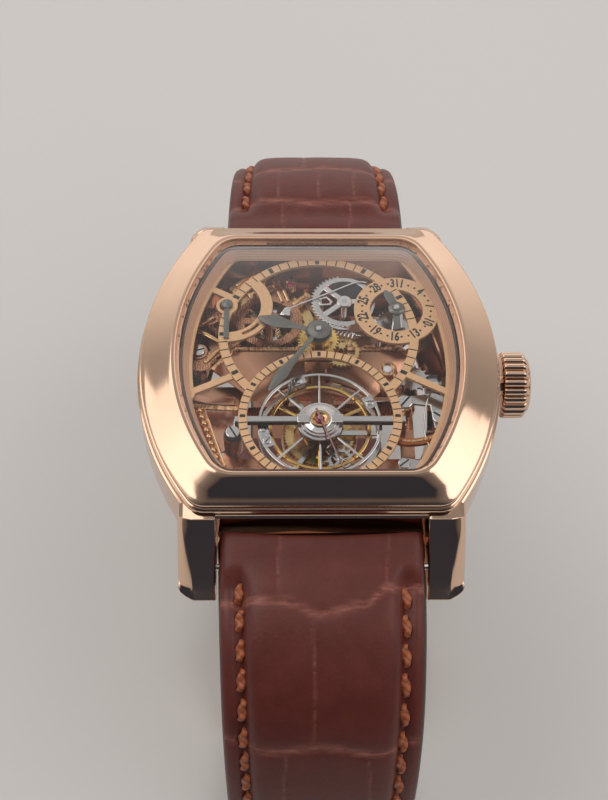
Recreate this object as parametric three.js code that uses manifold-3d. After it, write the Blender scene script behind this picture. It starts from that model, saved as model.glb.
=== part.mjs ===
// Skeleton wristwatch with a tourbillon, tonneau case and leather strap.
// Millimetres, +Z up out of the dial, +Y to twelve o'clock, +X to the crown.
// The origin is the centre of the flat outer face of the caseback.

import * as THREE from 'three';
import { mergeVertices } from 'three/addons/utils/BufferGeometryUtils.js';
import Module from 'manifold-3d';

const wasm = await Module();
wasm.setup();

// Driving dimensions: case
const OUTLINE_STEPS = 8;         // steps along each side arc of the case outlines
const SIDE_CENTRE = 11.5;        // the side arcs of every case outline share this centre
const CASE_HALF_WIDTH = 18.75;
const CASE_HALF_LENGTH = 18.3;
const BEZEL_SIDE_STEP = 0.3;     // the bezel stands back from the case by these
const BEZEL_END_STEP = 0.25;
const CRYSTAL_HALF_WIDTH = 14.6;
const CRYSTAL_HALF_LENGTH = 14.85;
const BEZEL_RIM = 0.7;           // flat rim round the crystal seat
const DIAL_EDGE = 1.1;           // dial and movement ring seen inside the crystal's edge
const DIAL_END_EDGE = 1.15;
const CAVITY_SIDE = 0.6;         // the movement reaches this far outside the crystal's edge
const CAVITY_END = 0.55;
const FRAME_THICKNESS = 1.4;     // caseback frame
const CASE_TOP = 8.9;
const BEZEL_TOP = 11.2;
const BEZEL_LIP = 0.25;
const CRYSTAL_UNDERSIDE = 10.5;
const CRYSTAL_TOP = 11.75;
const CASE_CHAMFER = 0.7;
const SEAT_GAP = 0.08;           // clearance at fitted edges
const THROUGH = 25;              // through cuts reach past every piece

// Driving dimensions: lugs, spring bars and crown
const LUG_INNER = 10.25;
const LUG_WIDTH = 3.7;
const LUG_TIP = 24;
const BAR_REACH = 21.4;
const BAR_HEIGHT = 3.9;
const BAR_RADIUS = 0.75;
const CROWN_HEIGHT = 4.7;
const CROWN_RADIUS = 3.5;
const CROWN_GAP = 0.4;           // from the case's side to the crown
const CROWN_LENGTH = 2.9;
const CROWN_FLUTES = 20;
const STEM_RADIUS = 0.6;
const STEM_INNER_END = 10.75;
const PINION_START = 0.6;
const CROWN_WHEEL_X = 9.9;
const CROWN_WHEEL_TEETH = 16;

// Driving dimensions: dial and hands
const DIAL_TOP = 9.0;
const DIAL_THICKNESS = 0.4;
const HANDS_Y = 3.5;
const TOURBILLON_Y = -6.94;
const HOUR_RING_RADIUS = 10.0;
const HOUR_RING_WIDTH = 0.95;
const SECONDS_RING_RADIUS = 7.8;
const SECONDS_RING_WIDTH = 0.88;
const DATE_X = 8.3;
const DATE_Y = 6.75;
const DATE_OUTER = 4.5;
const DATE_INNER = 2.8;
const RESERVE_X = -9.65;
const RESERVE_Y = 7.35;
const RESERVE_ARC_INNER = 3.6;
const RESERVE_ARC_OUTER = 4.85;
const HOUR_HAND_Z = 9.3;
const MINUTE_HAND_Z = 9.65;
const HAND_THICKNESS = 0.16;

// Driving dimensions: going train
const WINDING_MODULE = 0.2;
const CENTRE_MODULE = 0.2;
const CENTRE_TEETH = 48;
const THIRD_PINION_TEETH = 6;
const THIRD_TEETH = 45;
const CARRIAGE_PINION_TEETH = 6;
const BARREL_MODULE = 0.28;
const BARREL_TEETH = 36;
const CENTRE_PINION_TEETH = 8;
const FIXED_MODULE = 0.12;
const FIXED_TEETH = 60;
const ESCAPE_PINION_TEETH = 6;
const THIRD_WHEEL_Z = 2.7;
const CENTRE_WHEEL_Z = 3.2;
const BARREL_Z = 3.9;
const BARREL_TOP = 6.0;
const PLATE_Z = 4.4;
const PLATE_TOP = 5.1;
const BACK_BRIDGE_Z = 1.7;
const BACK_BRIDGE_TOP = 2.4;
const WHEEL_THICKNESS = 0.25;

// Driving dimensions: tourbillon
const CARRIAGE_RADIUS = 6.3;
const CARRIAGE_RIM = 0.45;
const BALANCE_RADIUS = 5.2;
const BALANCE_Z = 6.75;
const CARRIAGE_LOWER_Z = 5.75;
const CARRIAGE_UPPER_Z = 7.5;
const BRIDGE_BAR_Z = 7.85;
const BRIDGE_BAR_TOP = 8.5;

// Driving dimensions: strap, along each half from the lug bar
const STRAP_WIDTH = 20.3;
const BUCKLE_WIDTH = 16.0;
const TAPER_LENGTH = 60;
const PAD_HEIGHT = 2.0;
const PAD_LENGTH = 50;
const PAD_START = 0.6;           // share of the padding at the lug bar
const PAD_RISE = 5;

// Outlines that follow from the case and the crystal
const BEZEL_HALF_WIDTH = CASE_HALF_WIDTH - BEZEL_SIDE_STEP;
const BEZEL_HALF_LENGTH = CASE_HALF_LENGTH - BEZEL_END_STEP;
const DIAL_OPENING_HALF_WIDTH = CRYSTAL_HALF_WIDTH - DIAL_EDGE;
const DIAL_OPENING_HALF_LENGTH = CRYSTAL_HALF_LENGTH - DIAL_END_EDGE;
const CAVITY_HALF_WIDTH = CRYSTAL_HALF_WIDTH + CAVITY_SIDE;
const CAVITY_HALF_LENGTH = CRYSTAL_HALF_LENGTH + CAVITY_END;
const CROWN_START = CASE_HALF_WIDTH + CROWN_GAP;

const COLOUR = {
  gold: [0xd8a684, 0.18, 1], dial: [0xd9b283, 0.4, 0.6], plate: [0xc98f62, 0.3, 1],
  steel: [0xb9bcc0, 0.25, 1], brass: [0xd9b765, 0.3, 1], hand: [0x59605c, 0.4, 0.7],
  ruby: [0x8f1238, 0.15, 0], glass: [0xe8eef2, 0.03, 0], leather: [0x74382f, 0.6, 0],
  gasket: [0x303236, 0.7, 0],
};

function material(name) {
  const [color, roughness, metalness] = COLOUR[name];
  return new THREE.MeshStandardMaterial({ color, roughness, metalness });
}

// A closed three.js geometry as a solid that can be cut and joined.
function solid(geometry) {
  const bare = geometry.clone();
  bare.deleteAttribute('normal');
  if (bare.getAttribute('uv')) bare.deleteAttribute('uv');
  const merged = mergeVertices(bare, 1e-4);
  const vertProperties = new Float32Array(merged.getAttribute('position').array);
  const triVerts = new Uint32Array(merged.getIndex().array);
  return new wasm.Manifold(new wasm.Mesh({ numProp: 3, vertProperties, triVerts }));
}

function mesh(name, body, colour, x = 0, y = 0, z = 0) {
  const data = body.getMesh();
  const geometry = new THREE.BufferGeometry();
  geometry.setAttribute('position', new THREE.BufferAttribute(data.vertProperties, 3));
  geometry.setIndex(new THREE.BufferAttribute(data.triVerts, 1));
  geometry.computeVertexNormals();
  const made = new THREE.Mesh(geometry, material(colour));
  made.name = name;
  made.position.set(x, y, z);
  return made;
}

function join(...bodies) {
  return bodies.reduce((whole, body) => whole.add(body));
}

function cut(body, ...tools) {
  return tools.reduce((whole, tool) => whole.subtract(tool), body);
}

function extrude(shape, bottom, top, segments = 12) {
  const geometry = new THREE.ExtrudeGeometry(shape, {
    depth: top - bottom, bevelEnabled: false, curveSegments: Math.ceil(segments / 2),
  });
  geometry.translate(0, 0, bottom);
  return solid(geometry);
}

function polygon(points) {
  return new THREE.Shape(points.map(([x, y]) => new THREE.Vector2(x, y)));
}

function circlePath(radius, x = 0, y = 0) {
  const path = new THREE.Path();
  path.absarc(x, y, radius, 0, Math.PI * 2, true);
  return path;
}

function circle(radius, x = 0, y = 0) {
  const shape = new THREE.Shape();
  shape.absarc(x, y, radius, 0, Math.PI * 2, false);
  return shape;
}

// [x, y] of a point given by its distance and direction.
function polar(radius, angle) {
  return [radius * Math.cos(angle), radius * Math.sin(angle)];
}

function disc(radius, bottom, top, x = 0, y = 0, segments = 12) {
  const geometry = new THREE.CylinderGeometry(radius, radius, top - bottom, segments);
  geometry.rotateX(Math.PI / 2);
  geometry.translate(x, y, (bottom + top) / 2);
  return solid(geometry);
}

function ring(outer, inner, bottom, top, x = 0, y = 0, segments = 20) {
  const shape = circle(outer, x, y);
  shape.holes.push(circlePath(inner, x, y));
  return extrude(shape, bottom, top, segments);
}

function block(width, length, bottom, top, x = 0, y = 0, turn = 0) {
  const geometry = new THREE.BoxGeometry(width, length, top - bottom);
  geometry.rotateZ(turn);
  geometry.translate(x, y, (bottom + top) / 2);
  return solid(geometry);
}

// A flat bar from one point to another in plan.
function strut(x0, y0, x1, y1, width, bottom, top) {
  const length = Math.hypot(x1 - x0, y1 - y0);
  const turn = Math.atan2(y1 - y0, x1 - x0);
  return block(length, width, bottom, top, (x0 + x1) / 2, (y0 + y1) / 2, turn);
}

function turned(profile, segments = 14) {
  return solid(new THREE.LatheGeometry(profile.map(([r, z]) => new THREE.Vector2(r, z)), segments)
    .rotateX(Math.PI / 2));
}

// Part of a flat ring, with the given number of steps along each arc.
function sector(outer, inner, from, to, bottom, top, steps = 3) {
  const points = [];
  for (let step = 0; step <= steps; step += 1) {
    const angle = from + (to - from) * step / steps;
    points.push(polar(outer, angle));
  }
  const innerSteps = Math.max(1, Math.ceil(steps * 0.6));
  for (let step = innerSteps; step >= 0; step -= 1) {
    const angle = from + (to - from) * step / innerSteps;
    points.push(polar(inner, angle));
  }
  return extrude(polygon(points), bottom, top);
}

// Tonneau outline: straight ends, bowed sides.
function tonneau(halfWidth, halfLength) {
  const radius = halfWidth + SIDE_CENTRE;
  const reach = Math.asin(halfLength / radius);
  const shape = new THREE.Shape();
  shape.absarc(-SIDE_CENTRE, 0, radius, -reach, reach, false);
  shape.absarc(SIDE_CENTRE, 0, radius, Math.PI - reach, Math.PI + reach, false);
  shape.closePath();
  return shape;
}

function tonneauSolid(halfWidth, halfLength, bottom, top, segments = OUTLINE_STEPS) {
  return extrude(tonneau(halfWidth, halfLength), bottom, top, segments);
}

// A closed body skinned over rings of points that all have the same count.
function loft(rings) {
  const count = rings[0].length;
  const positions = rings.flat().flatMap((point) => [point.x, point.y, point.z]);
  const index = [];
  for (let layer = 0; layer + 1 < rings.length; layer += 1) {
    for (let step = 0; step < count; step += 1) {
      const a = layer * count + step;
      const b = layer * count + (step + 1) % count;
      index.push(a, b, a + count, b, b + count, a + count);
    }
  }
  const capFaces = (ring, offset, flip) => {
    const normal = new THREE.Vector3();
    for (let step = 0; step < count; step += 1) {
      normal.add(ring[step].clone().cross(ring[(step + 1) % count]));
    }
    normal.normalize();
    const across = ring[1].clone().sub(ring[0]).normalize();
    const up = normal.clone().cross(across).normalize();
    const flat = ring.map((point) => new THREE.Vector2(point.dot(across), point.dot(up)));
    THREE.ShapeUtils.triangulateShape(flat, []).forEach(([a, b, c]) => {
      index.push(...(flip ? [a, c, b] : [a, b, c]).map((corner) => corner + offset));
    });
  };
  capFaces(rings[0], 0, true);
  capFaces(rings.at(-1), (rings.length - 1) * count, false);
  const geometry = new THREE.BufferGeometry();
  geometry.setAttribute('position', new THREE.Float32BufferAttribute(positions, 3));
  geometry.setIndex(index);
  return solid(geometry);
}

function tonneauRing(halfWidth, halfLength, z, divisions = OUTLINE_STEPS) {
  const points = tonneau(halfWidth, halfLength).getPoints(divisions / 2);
  if (points[0].distanceTo(points.at(-1)) < 1e-6) points.pop();
  return points.map((point) => new THREE.Vector3(point.x, point.y, z));
}

// Gear outline with straight-sided pointed teeth, three points to a tooth.
function gearShape(teeth, module, bore = 0) {
  const pitch = teeth * module / 2;
  const tip = pitch + 0.85 * module;
  const root = pitch - 1.1 * module;
  const points = [];
  for (let tooth = 0; tooth < teeth; tooth += 1) {
    const centre = tooth / teeth * Math.PI * 2;
    const unit = Math.PI * 2 / teeth;
    [[root, -0.27], [tip, 0], [root, 0.27]].forEach(([radius, part]) => {
      const angle = centre + part * unit;
      points.push(new THREE.Vector2(radius * Math.cos(angle), radius * Math.sin(angle)));
    });
  }
  const shape = new THREE.Shape(points);
  if (bore > 0) shape.holes.push(circlePath(bore));
  return shape;
}

// Cutters for evenly spaced windows in a disc, with a web of the given angle between them.
function windows(count, outer, inner, web, bottom, top, steps = 3) {
  const pitch = Math.PI * 2 / count;
  return Array.from({ length: count }, (_, step) => sector(
    outer, inner, step * pitch + web / 2, (step + 1) * pitch - web / 2, bottom, top, steps,
  ));
}

// A toothed wheel with its first tooth at the angle phase; windows leave straight spokes.
function wheel(teeth, module, bottom, top, { spokes = 4, rim = 0.6, hub = 0.8, bore = 0, phase = 0 } = {}) {
  let body = extrude(gearShape(teeth, module, bore), bottom, top, 8);
  const outer = teeth * module / 2 - 1.1 * module - rim;
  if (spokes > 0 && outer > hub + 0.3) {
    const arm = 0.28;
    for (let spoke = 0; spoke < spokes; spoke += 1) {
      const from = spoke / spokes * Math.PI * 2 + arm / outer * 1.2;
      const to = (spoke + 1) / spokes * Math.PI * 2 - arm / outer * 1.2;
      body = body.subtract(sector(outer, hub, from, to, bottom - 1, top + 1, 3));
    }
  }
  return body.rotate([0, 0, phase * 180 / Math.PI]);
}

// Slotted screw: a domed head with a slot and a plain shank.
function screw(headRadius, headHeight, shankRadius, shankLength, turn) {
  const body = turned([
    [0, -shankLength], [shankRadius, -shankLength], [shankRadius, 0], [headRadius, 0],
    [headRadius, headHeight * 0.7], [headRadius * 0.85, headHeight], [0, headHeight],
  ], 10);
  const slot = block(headRadius * 2.4, headRadius * 0.28, headHeight * 0.55, headHeight + 1, 0, 0, turn);
  return body.subtract(slot);
}

// Case, bezel and crystal

function lug(side, end) {
  const outline = [
    [CASE_HALF_LENGTH - 3.0, 8.7], [CASE_HALF_LENGTH + 0.6, 8.35], [CASE_HALF_LENGTH + 2.8, 7.3],
    [LUG_TIP - 1.3, 5.4], [LUG_TIP - 0.35, 3.6], [LUG_TIP, 2.0], [LUG_TIP - 0.6, 1.5],
    [BAR_REACH - 0.6, 2.1], [CASE_HALF_LENGTH - 3.0, 1.7],
  ];
  const inner = LUG_INNER;
  const rings = [[inner, 0], [inner + LUG_WIDTH - 0.6, 0], [inner + LUG_WIDTH, 0.5]].map(([x, inset]) => {
    const middle = new THREE.Vector2(CASE_HALF_LENGTH + 1.5, 5.0);
    return outline.map(([y, z]) => {
      const toward = new THREE.Vector2(middle.x - y, middle.y - z).setLength(inset);
      return new THREE.Vector3(x, y + toward.x, z + toward.y);
    });
  });
  let body = loft(rings.map((ring) => ring.slice().reverse()));
  if (body.volume() < 0) body = loft(rings);
  const hole = disc(BAR_RADIUS + SEAT_GAP - 0.3, 0, 1.2, 0, 0, 12).rotate([0, 90, 0])
    .translate([inner - 0.2, BAR_REACH, BAR_HEIGHT]);
  body = body.subtract(hole);
  const mirrorX = side < 0 ? body.mirror([1, 0, 0]) : body;
  return end < 0 ? mirrorX.mirror([0, 1, 0]) : mirrorX;
}

function caseMiddle() {
  const outer = loft([
    tonneauRing(CASE_HALF_WIDTH - 1.2, CASE_HALF_LENGTH - 1.2, FRAME_THICKNESS),
    tonneauRing(CASE_HALF_WIDTH - 0.2, CASE_HALF_LENGTH - 0.2, FRAME_THICKNESS + 1.6),
    tonneauRing(CASE_HALF_WIDTH, CASE_HALF_LENGTH, CASE_TOP - CASE_CHAMFER * 2.2),
    tonneauRing(CASE_HALF_WIDTH, CASE_HALF_LENGTH, CASE_TOP - CASE_CHAMFER),
    tonneauRing(CASE_HALF_WIDTH - CASE_CHAMFER * 0.8, CASE_HALF_LENGTH - CASE_CHAMFER * 0.8, CASE_TOP),
  ]);
  let body = outer;
  [[1, 1], [-1, 1], [1, -1], [-1, -1]].forEach(([side, end]) => {
    body = body.add(lug(side, end));
  });
  body = body.subtract(tonneauSolid(CAVITY_HALF_WIDTH, CAVITY_HALF_LENGTH, 0, CASE_TOP + 1));
  const stemHole = disc(TUBE_OUTER, -10, 10, 0, 0, 16).rotate([0, 90, 0])
    .translate([CASE_HALF_WIDTH + 4, 0, CROWN_HEIGHT]);
  return cut(body, stemHole, ...screwPlaces().map(([x, y]) => disc(SCREW_SHANK + SEAT_GAP, 0, 3.4, x, y, 8)));
}

function screwPlaces() {
  const x = CAVITY_HALF_WIDTH - 4.2;
  const y = CASE_HALF_LENGTH - SCREW_INSET;
  return [[x, y], [-x, y], [x, -y], [-x, -y]];
}

const SCREW_SHANK = 0.45;
const SCREW_INSET = 1.65;
const TUBE_OUTER = 1.25;

function bezel() {
  const rim = BEZEL_RIM;
  const body = loft([
    tonneauRing(BEZEL_HALF_WIDTH - 0.35, BEZEL_HALF_LENGTH - 0.35, CASE_TOP),
    tonneauRing(BEZEL_HALF_WIDTH, BEZEL_HALF_LENGTH, CASE_TOP + BEZEL_LIP),
    tonneauRing(BEZEL_HALF_WIDTH - 0.25, BEZEL_HALF_LENGTH - 0.2, CASE_TOP + BEZEL_LIP * 2),
    tonneauRing(CRYSTAL_HALF_WIDTH + rim + 0.25, CRYSTAL_HALF_LENGTH + rim + 0.2, BEZEL_TOP - 0.3),
    tonneauRing(CRYSTAL_HALF_WIDTH + rim * 0.7, CRYSTAL_HALF_LENGTH + rim * 0.7, BEZEL_TOP),
    tonneauRing(CRYSTAL_HALF_WIDTH + 0.1, CRYSTAL_HALF_LENGTH + 0.1, BEZEL_TOP - 0.05),
  ]);
  return cut(
    body,
    tonneauSolid(CRYSTAL_HALF_WIDTH + SEAT_GAP, CRYSTAL_HALF_LENGTH + SEAT_GAP, CRYSTAL_UNDERSIDE, 20),
    tonneauSolid(FLANGE_HALF_WIDTH + SEAT_GAP, FLANGE_HALF_LENGTH + SEAT_GAP, 0, THROUGH),
  );
}

const FLANGE_HALF_WIDTH = CRYSTAL_HALF_WIDTH - 0.35;
const FLANGE_HALF_LENGTH = CRYSTAL_HALF_LENGTH - 0.35;
const GASKET_HEIGHT = 0.3;

// The polished wall between dial and crystal; it slants in towards the dial.
function flange() {
  const top = CRYSTAL_UNDERSIDE - GASKET_HEIGHT - SEAT_GAP;
  const outer = tonneauSolid(FLANGE_HALF_WIDTH, FLANGE_HALF_LENGTH, DIAL_TOP, top);
  const inner = loft([
    tonneauRing(DIAL_OPENING_HALF_WIDTH - 0.1, DIAL_OPENING_HALF_LENGTH - 0.1, DIAL_TOP - 0.2),
    tonneauRing(FLANGE_HALF_WIDTH - 0.25, FLANGE_HALF_LENGTH - 0.25, top + 0.02),
    tonneauRing(FLANGE_HALF_WIDTH - 0.25, FLANGE_HALF_LENGTH - 0.25, top + 1),
  ]);
  return outer.subtract(inner);
}

function gasket() {
  const top = CRYSTAL_UNDERSIDE;
  const outer = tonneauSolid(FLANGE_HALF_WIDTH, FLANGE_HALF_LENGTH, top - GASKET_HEIGHT, top);
  return outer.subtract(tonneauSolid(FLANGE_HALF_WIDTH - 0.3, FLANGE_HALF_LENGTH - 0.3, 0, THROUGH));
}

function crystal() {
  return loft([
    tonneauRing(CRYSTAL_HALF_WIDTH, CRYSTAL_HALF_LENGTH, CRYSTAL_UNDERSIDE),
    tonneauRing(CRYSTAL_HALF_WIDTH, CRYSTAL_HALF_LENGTH, BEZEL_TOP),
    tonneauRing(CRYSTAL_HALF_WIDTH - 0.7, CRYSTAL_HALF_LENGTH - 0.7, BEZEL_TOP + 0.35),
    tonneauRing(CRYSTAL_HALF_WIDTH * 0.62, CRYSTAL_HALF_LENGTH * 0.62, CRYSTAL_TOP),
  ]);
}

const WINDOW_HALF_WIDTH = 12.6;
const WINDOW_HALF_LENGTH = 12.8;
const GLASS_LEDGE = 0.8;
const GLASS_THICKNESS = 0.9;

function casebackFrame() {
  const half = [CASE_HALF_WIDTH - 1.2, CASE_HALF_LENGTH - 1.2];
  const body = loft([
    tonneauRing(half[0] - 0.8, half[1] - 0.8, 0),
    tonneauRing(half[0], half[1], 0.7),
    tonneauRing(half[0], half[1], FRAME_THICKNESS),
  ]);
  return cut(
    body,
    tonneauSolid(WINDOW_HALF_WIDTH, WINDOW_HALF_LENGTH, -1, GLASS_THICKNESS),
    tonneauSolid(WINDOW_HALF_WIDTH - GLASS_LEDGE, WINDOW_HALF_LENGTH - GLASS_LEDGE, -1, 3),
    ...screwPlaces().map(([x, y]) => join(
      disc(SCREW_SHANK + SEAT_GAP, -1, 3, x, y, 8),
      disc(1.0 + SEAT_GAP, -1, 0.75, x, y, 10),
    )),
  );
}

function casebackGlass() {
  return tonneauSolid(WINDOW_HALF_WIDTH - SEAT_GAP, WINDOW_HALF_LENGTH - SEAT_GAP, 0, GLASS_THICKNESS);
}

function casebackScrew(index) {
  const [x, y] = screwPlaces()[index];
  const body = screw(1.0, 0.5, SCREW_SHANK, 2.2, 0.5 + index).rotate([180, 0, 0]);
  return mesh(`caseback_screw_${index + 1}`, body, 'steel', x, y, 0.75);
}

// Crown with rounded flutes, a stepped collar and a domed cap. Its axis is +X.
function crown() {
  const outline = [];
  for (let flute = 0; flute < CROWN_FLUTES; flute += 1) {
    [[0, -0.3], [0, 0.3], [0.3, 0.5]].forEach(([depth, part]) => {
      const angle = (flute + part) / CROWN_FLUTES * Math.PI * 2;
      outline.push(polar(CROWN_RADIUS - depth, angle));
    });
  }
  const fluted = extrude(polygon(outline), 0.45, CROWN_LENGTH - 0.5);
  const core = turned([
    [0, 0], [CROWN_RADIUS - 0.55, 0], [CROWN_RADIUS - 0.35, 0.46], [CROWN_RADIUS - 0.35, CROWN_LENGTH - 0.52],
    [CROWN_RADIUS - 0.7, CROWN_LENGTH - 0.25], [CROWN_RADIUS - 1.2, CROWN_LENGTH], [0, CROWN_LENGTH + 0.35],
  ], 24);
  const bore = disc(TUBE_OUTER + 0.3, -1, 1.6, 0, 0, 12);
  return cut(join(core, fluted), bore).rotate([0, 90, 0]);
}

// Winding stem with its pinion near the inner end and the groove for the setting lever.
function stem() {
  const length = CROWN_START + 1.55 - STEM_INNER_END;
  return turned([
    [0, 0], [0.35, 0], [0.35, 1.0], [STEM_RADIUS, 1.0], [STEM_RADIUS, 2.2], [0.4, 2.2], [0.4, 2.7],
    [STEM_RADIUS, 2.7], [STEM_RADIUS, length], [0, length],
  ], 12).add(extrude(gearShape(10, WINDING_MODULE), PINION_START, PINION_START + 1.2, 6)).rotate([0, 90, 0]);
}

function crownTube() {
  const length = CROWN_START + 1.3 - CAVITY_HALF_WIDTH;
  return ring(TUBE_OUTER - SEAT_GAP, STEM_RADIUS + 0.12, 0, length, 0, 0, 16).rotate([0, 90, 0]);
}


function springBar(length, radius) {
  const shoulder = length / 2 - 0.25;
  const pin = length / 2 + 0.75;
  const thin = radius - 0.4;
  return turned([
    [0, -pin], [thin, -pin], [thin, -shoulder], [radius, -shoulder],
    [radius, shoulder], [thin, shoulder], [thin, pin], [0, pin],
  ], 10).rotate([0, 90, 0]);
}

// Dial and hands

const DIAL_HALF_WIDTH = FLANGE_HALF_WIDTH - SEAT_GAP;
const DIAL_HALF_LENGTH = FLANGE_HALF_LENGTH - SEAT_GAP;
const DIAL_BOTTOM = DIAL_TOP - DIAL_THICKNESS;
const DIAL_FRAME = 0.45;
const RESERVE_BOSS = 1.15;
const RESERVE_HOLE = 0.78;
const RESERVE_ARC_START = -1.66;
const RESERVE_ARC_END = 0.86;

function dial() {
  const [low, high] = [DIAL_BOTTOM, DIAL_TOP];
  const band = HOUR_RING_WIDTH / 2;
  const small = SECONDS_RING_WIDTH / 2;
  const opening = tonneauSolid(
    DIAL_OPENING_HALF_WIDTH - DIAL_FRAME, DIAL_OPENING_HALF_LENGTH - DIAL_FRAME, 0, 20,
  );
  const frame = tonneauSolid(DIAL_HALF_WIDTH, DIAL_HALF_LENGTH, low, high).subtract(opening);
  const hours = cut(
    ring(HOUR_RING_RADIUS + band, HOUR_RING_RADIUS - band, low, high, 0, HANDS_Y, 36),
    disc(SECONDS_RING_RADIUS, 0, THROUGH, 0, TOURBILLON_Y, 32),
  );
  const seconds = ring(
    SECONDS_RING_RADIUS + small, SECONDS_RING_RADIUS - small, low, high, 0, TOURBILLON_Y, 36,
  );
  const date = ring(DATE_OUTER, DATE_INNER, low, high, DATE_X, DATE_Y, 28);
  const arc = sector(RESERVE_ARC_OUTER, RESERVE_ARC_INNER, RESERVE_ARC_START, RESERVE_ARC_END, low, high, 14)
    .translate([RESERVE_X, RESERVE_Y, 0]);
  const edge = DIAL_HALF_WIDTH - DIAL_FRAME;
  const struts = [
    [-edge, -4.2, -9.0, -1.95, 0.75], [edge, -4.3, 9.0, -1.7, 0.75], [-edge + 1.1, 10.2, -9.0, 8.4, 0.75],
    [9.2, -4.3, 7.1, -2.9, 0.9], [-9.2, -4.3, -7.1, -2.9, 0.9],
  ].map(([x0, y0, x1, y1, width]) => strut(x0, y0, x1, y1, width, low, high));
  const whole = cut(
    join(frame, hours, seconds, date, arc, ...struts, disc(RESERVE_BOSS, low, high, RESERVE_X, RESERVE_Y)),
    disc(RESERVE_HOLE, 0, THROUGH, RESERVE_X, RESERVE_Y, 16),
  );
  return whole.intersect(tonneauSolid(DIAL_HALF_WIDTH, DIAL_HALF_LENGTH, 0, THROUGH));
}

const HOUR_HAND_LENGTH = 6.55;
const MINUTE_HAND_LENGTH = 9.4;
const HAND_HUB = 1.25;
const HOUR_TUBE_OUTER = 1.05;
const HOUR_TUBE_INNER = 0.85;
const CANNON_OUTER = 0.72;
const CANNON_BORE = 0.36;
const MOTION_MODULE = 0.13;
const CANNON_TEETH = 10;
const MINUTE_WHEEL_TEETH = 30;
const MINUTE_PINION_TEETH = 8;
const HOUR_WHEEL_TEETH = 32;
const HOUR_WHEEL_Z = 7.9;
const MINUTE_WHEEL_Z = 6.9;
const HOUR_HAND_ANGLE = THREE.MathUtils.degToRad(162.2);
const MINUTE_HAND_ANGLE = THREE.MathUtils.degToRad(-123.8);

// A leaf hand pointing along +X: narrow neck, wide blade, slanted tip.
function handShape(length, wide, widePlace, neck, slant) {
  return polygon([
    [0.6, -neck], [widePlace * 0.45, -neck], [widePlace, -wide],
    [length - slant, -wide * 0.75], [length, wide * 0.35], [widePlace * 1.03, wide], [widePlace * 0.45, neck],
    [0.6, neck],
  ]);
}

function hourHand() {
  const blade = extrude(handShape(HOUR_HAND_LENGTH, 0.78, 4.75, 0.3, 0.25), 0, HAND_THICKNESS);
  const hub = disc(HAND_HUB + 0.15, 0, HAND_THICKNESS, 0, 0, 20);
  return cut(join(blade, hub), disc(HOUR_TUBE_INNER, -1, 1)).rotate([0, 0, degrees(HOUR_HAND_ANGLE)]);
}

function minuteHand() {
  const blade = extrude(handShape(MINUTE_HAND_LENGTH, 0.6, 6.85, 0.24, 0.75), 0, HAND_THICKNESS);
  const hub = turned([[0, 0], [HAND_HUB, 0], [HAND_HUB, 0.16], [0.95, 0.3], [0.28, 0.42], [0, 0.42]], 20);
  const hand = join(blade, hub).rotate([0, 0, degrees(MINUTE_HAND_ANGLE)]);
  const low = MINUTE_WHEEL_Z - 0.1 - MINUTE_HAND_Z;
  const tube = ring(CANNON_OUTER, CANNON_BORE, MINUTE_WHEEL_Z + 0.35 - MINUTE_HAND_Z, 0.05, 0, 0, 12);
  const pinion = extrude(gearShape(CANNON_TEETH, MOTION_MODULE, CANNON_BORE), low, low + 0.5, 8);
  return join(hand, tube, pinion);
}

function hourWheel() {
  const low = HOUR_WHEEL_Z - HOUR_HAND_Z;
  const plate = wheel(HOUR_WHEEL_TEETH, MOTION_MODULE, low, low + 0.2, { spokes: 0 });
  const openings = windows(4, 1.55, 1.2, 0.5, low - 1, low + 1, 2);
  return cut(join(plate, disc(HOUR_TUBE_OUTER, low, 0)), disc(HOUR_TUBE_INNER, low - 1, 1), ...openings);
}

function meshPhase(driverTeeth, driverPhase, drivenTeeth, direction) {
  const part = (direction - driverPhase) * driverTeeth / (Math.PI * 2);
  return direction + Math.PI - (0.5 - part) * Math.PI * 2 / drivenTeeth;
}

const MINUTE_WHEEL_DIRECTION = -0.35;
const MOTION_DISTANCE = MOTION_MODULE * (CANNON_TEETH + MINUTE_WHEEL_TEETH) / 2;
const MINUTE_WHEEL_X = MOTION_DISTANCE * Math.cos(MINUTE_WHEEL_DIRECTION);
const MINUTE_WHEEL_Y = HANDS_Y + MOTION_DISTANCE * Math.sin(MINUTE_WHEEL_DIRECTION);

function minuteWheel() {
  const high = HOUR_WHEEL_Z + 0.3 - MINUTE_WHEEL_Z;
  const gear = wheel(MINUTE_WHEEL_TEETH, MOTION_MODULE, 0.05, 0.25, {
    spokes: 4, rim: 0.35, hub: 0.6,
    phase: meshPhase(CANNON_TEETH, 0, MINUTE_WHEEL_TEETH, MINUTE_WHEEL_DIRECTION),
  });
  const pinion = extrude(gearShape(MINUTE_PINION_TEETH, MOTION_MODULE), 0.2, high, 8).rotate([
    0, 0, degrees(meshPhase(HOUR_WHEEL_TEETH, 0, MINUTE_PINION_TEETH, MINUTE_WHEEL_DIRECTION)),
  ]);
  const arbor = disc(0.2, PLATE_TOP + SEAT_GAP - MINUTE_WHEEL_Z, 0.3, 0, 0, 10);
  return join(gear, pinion, arbor);
}

const SMALL_HAND_Z = 9.12;
const SMALL_HAND_THICKNESS = 0.12;

function reserveHand() {
  const bar = block(0.55, 4.5, 0, SMALL_HAND_THICKNESS, 0, -2.25);
  const hub = turned([[0, 0], [0.62, 0], [0.62, 0.2], [0.45, 0.28], [0, 0.28]], 18);
  return join(bar, hub, disc(0.22, BARREL_BRIDGE_TOP + SEAT_GAP - SMALL_HAND_Z, 0.1, 0, 0, 10));
}

const DATE_HAND_ANGLE = 112;
const STAR_TEETH = 31;
const STAR_MODULE = 0.13;
const STAR_Z = 6.4;

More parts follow.
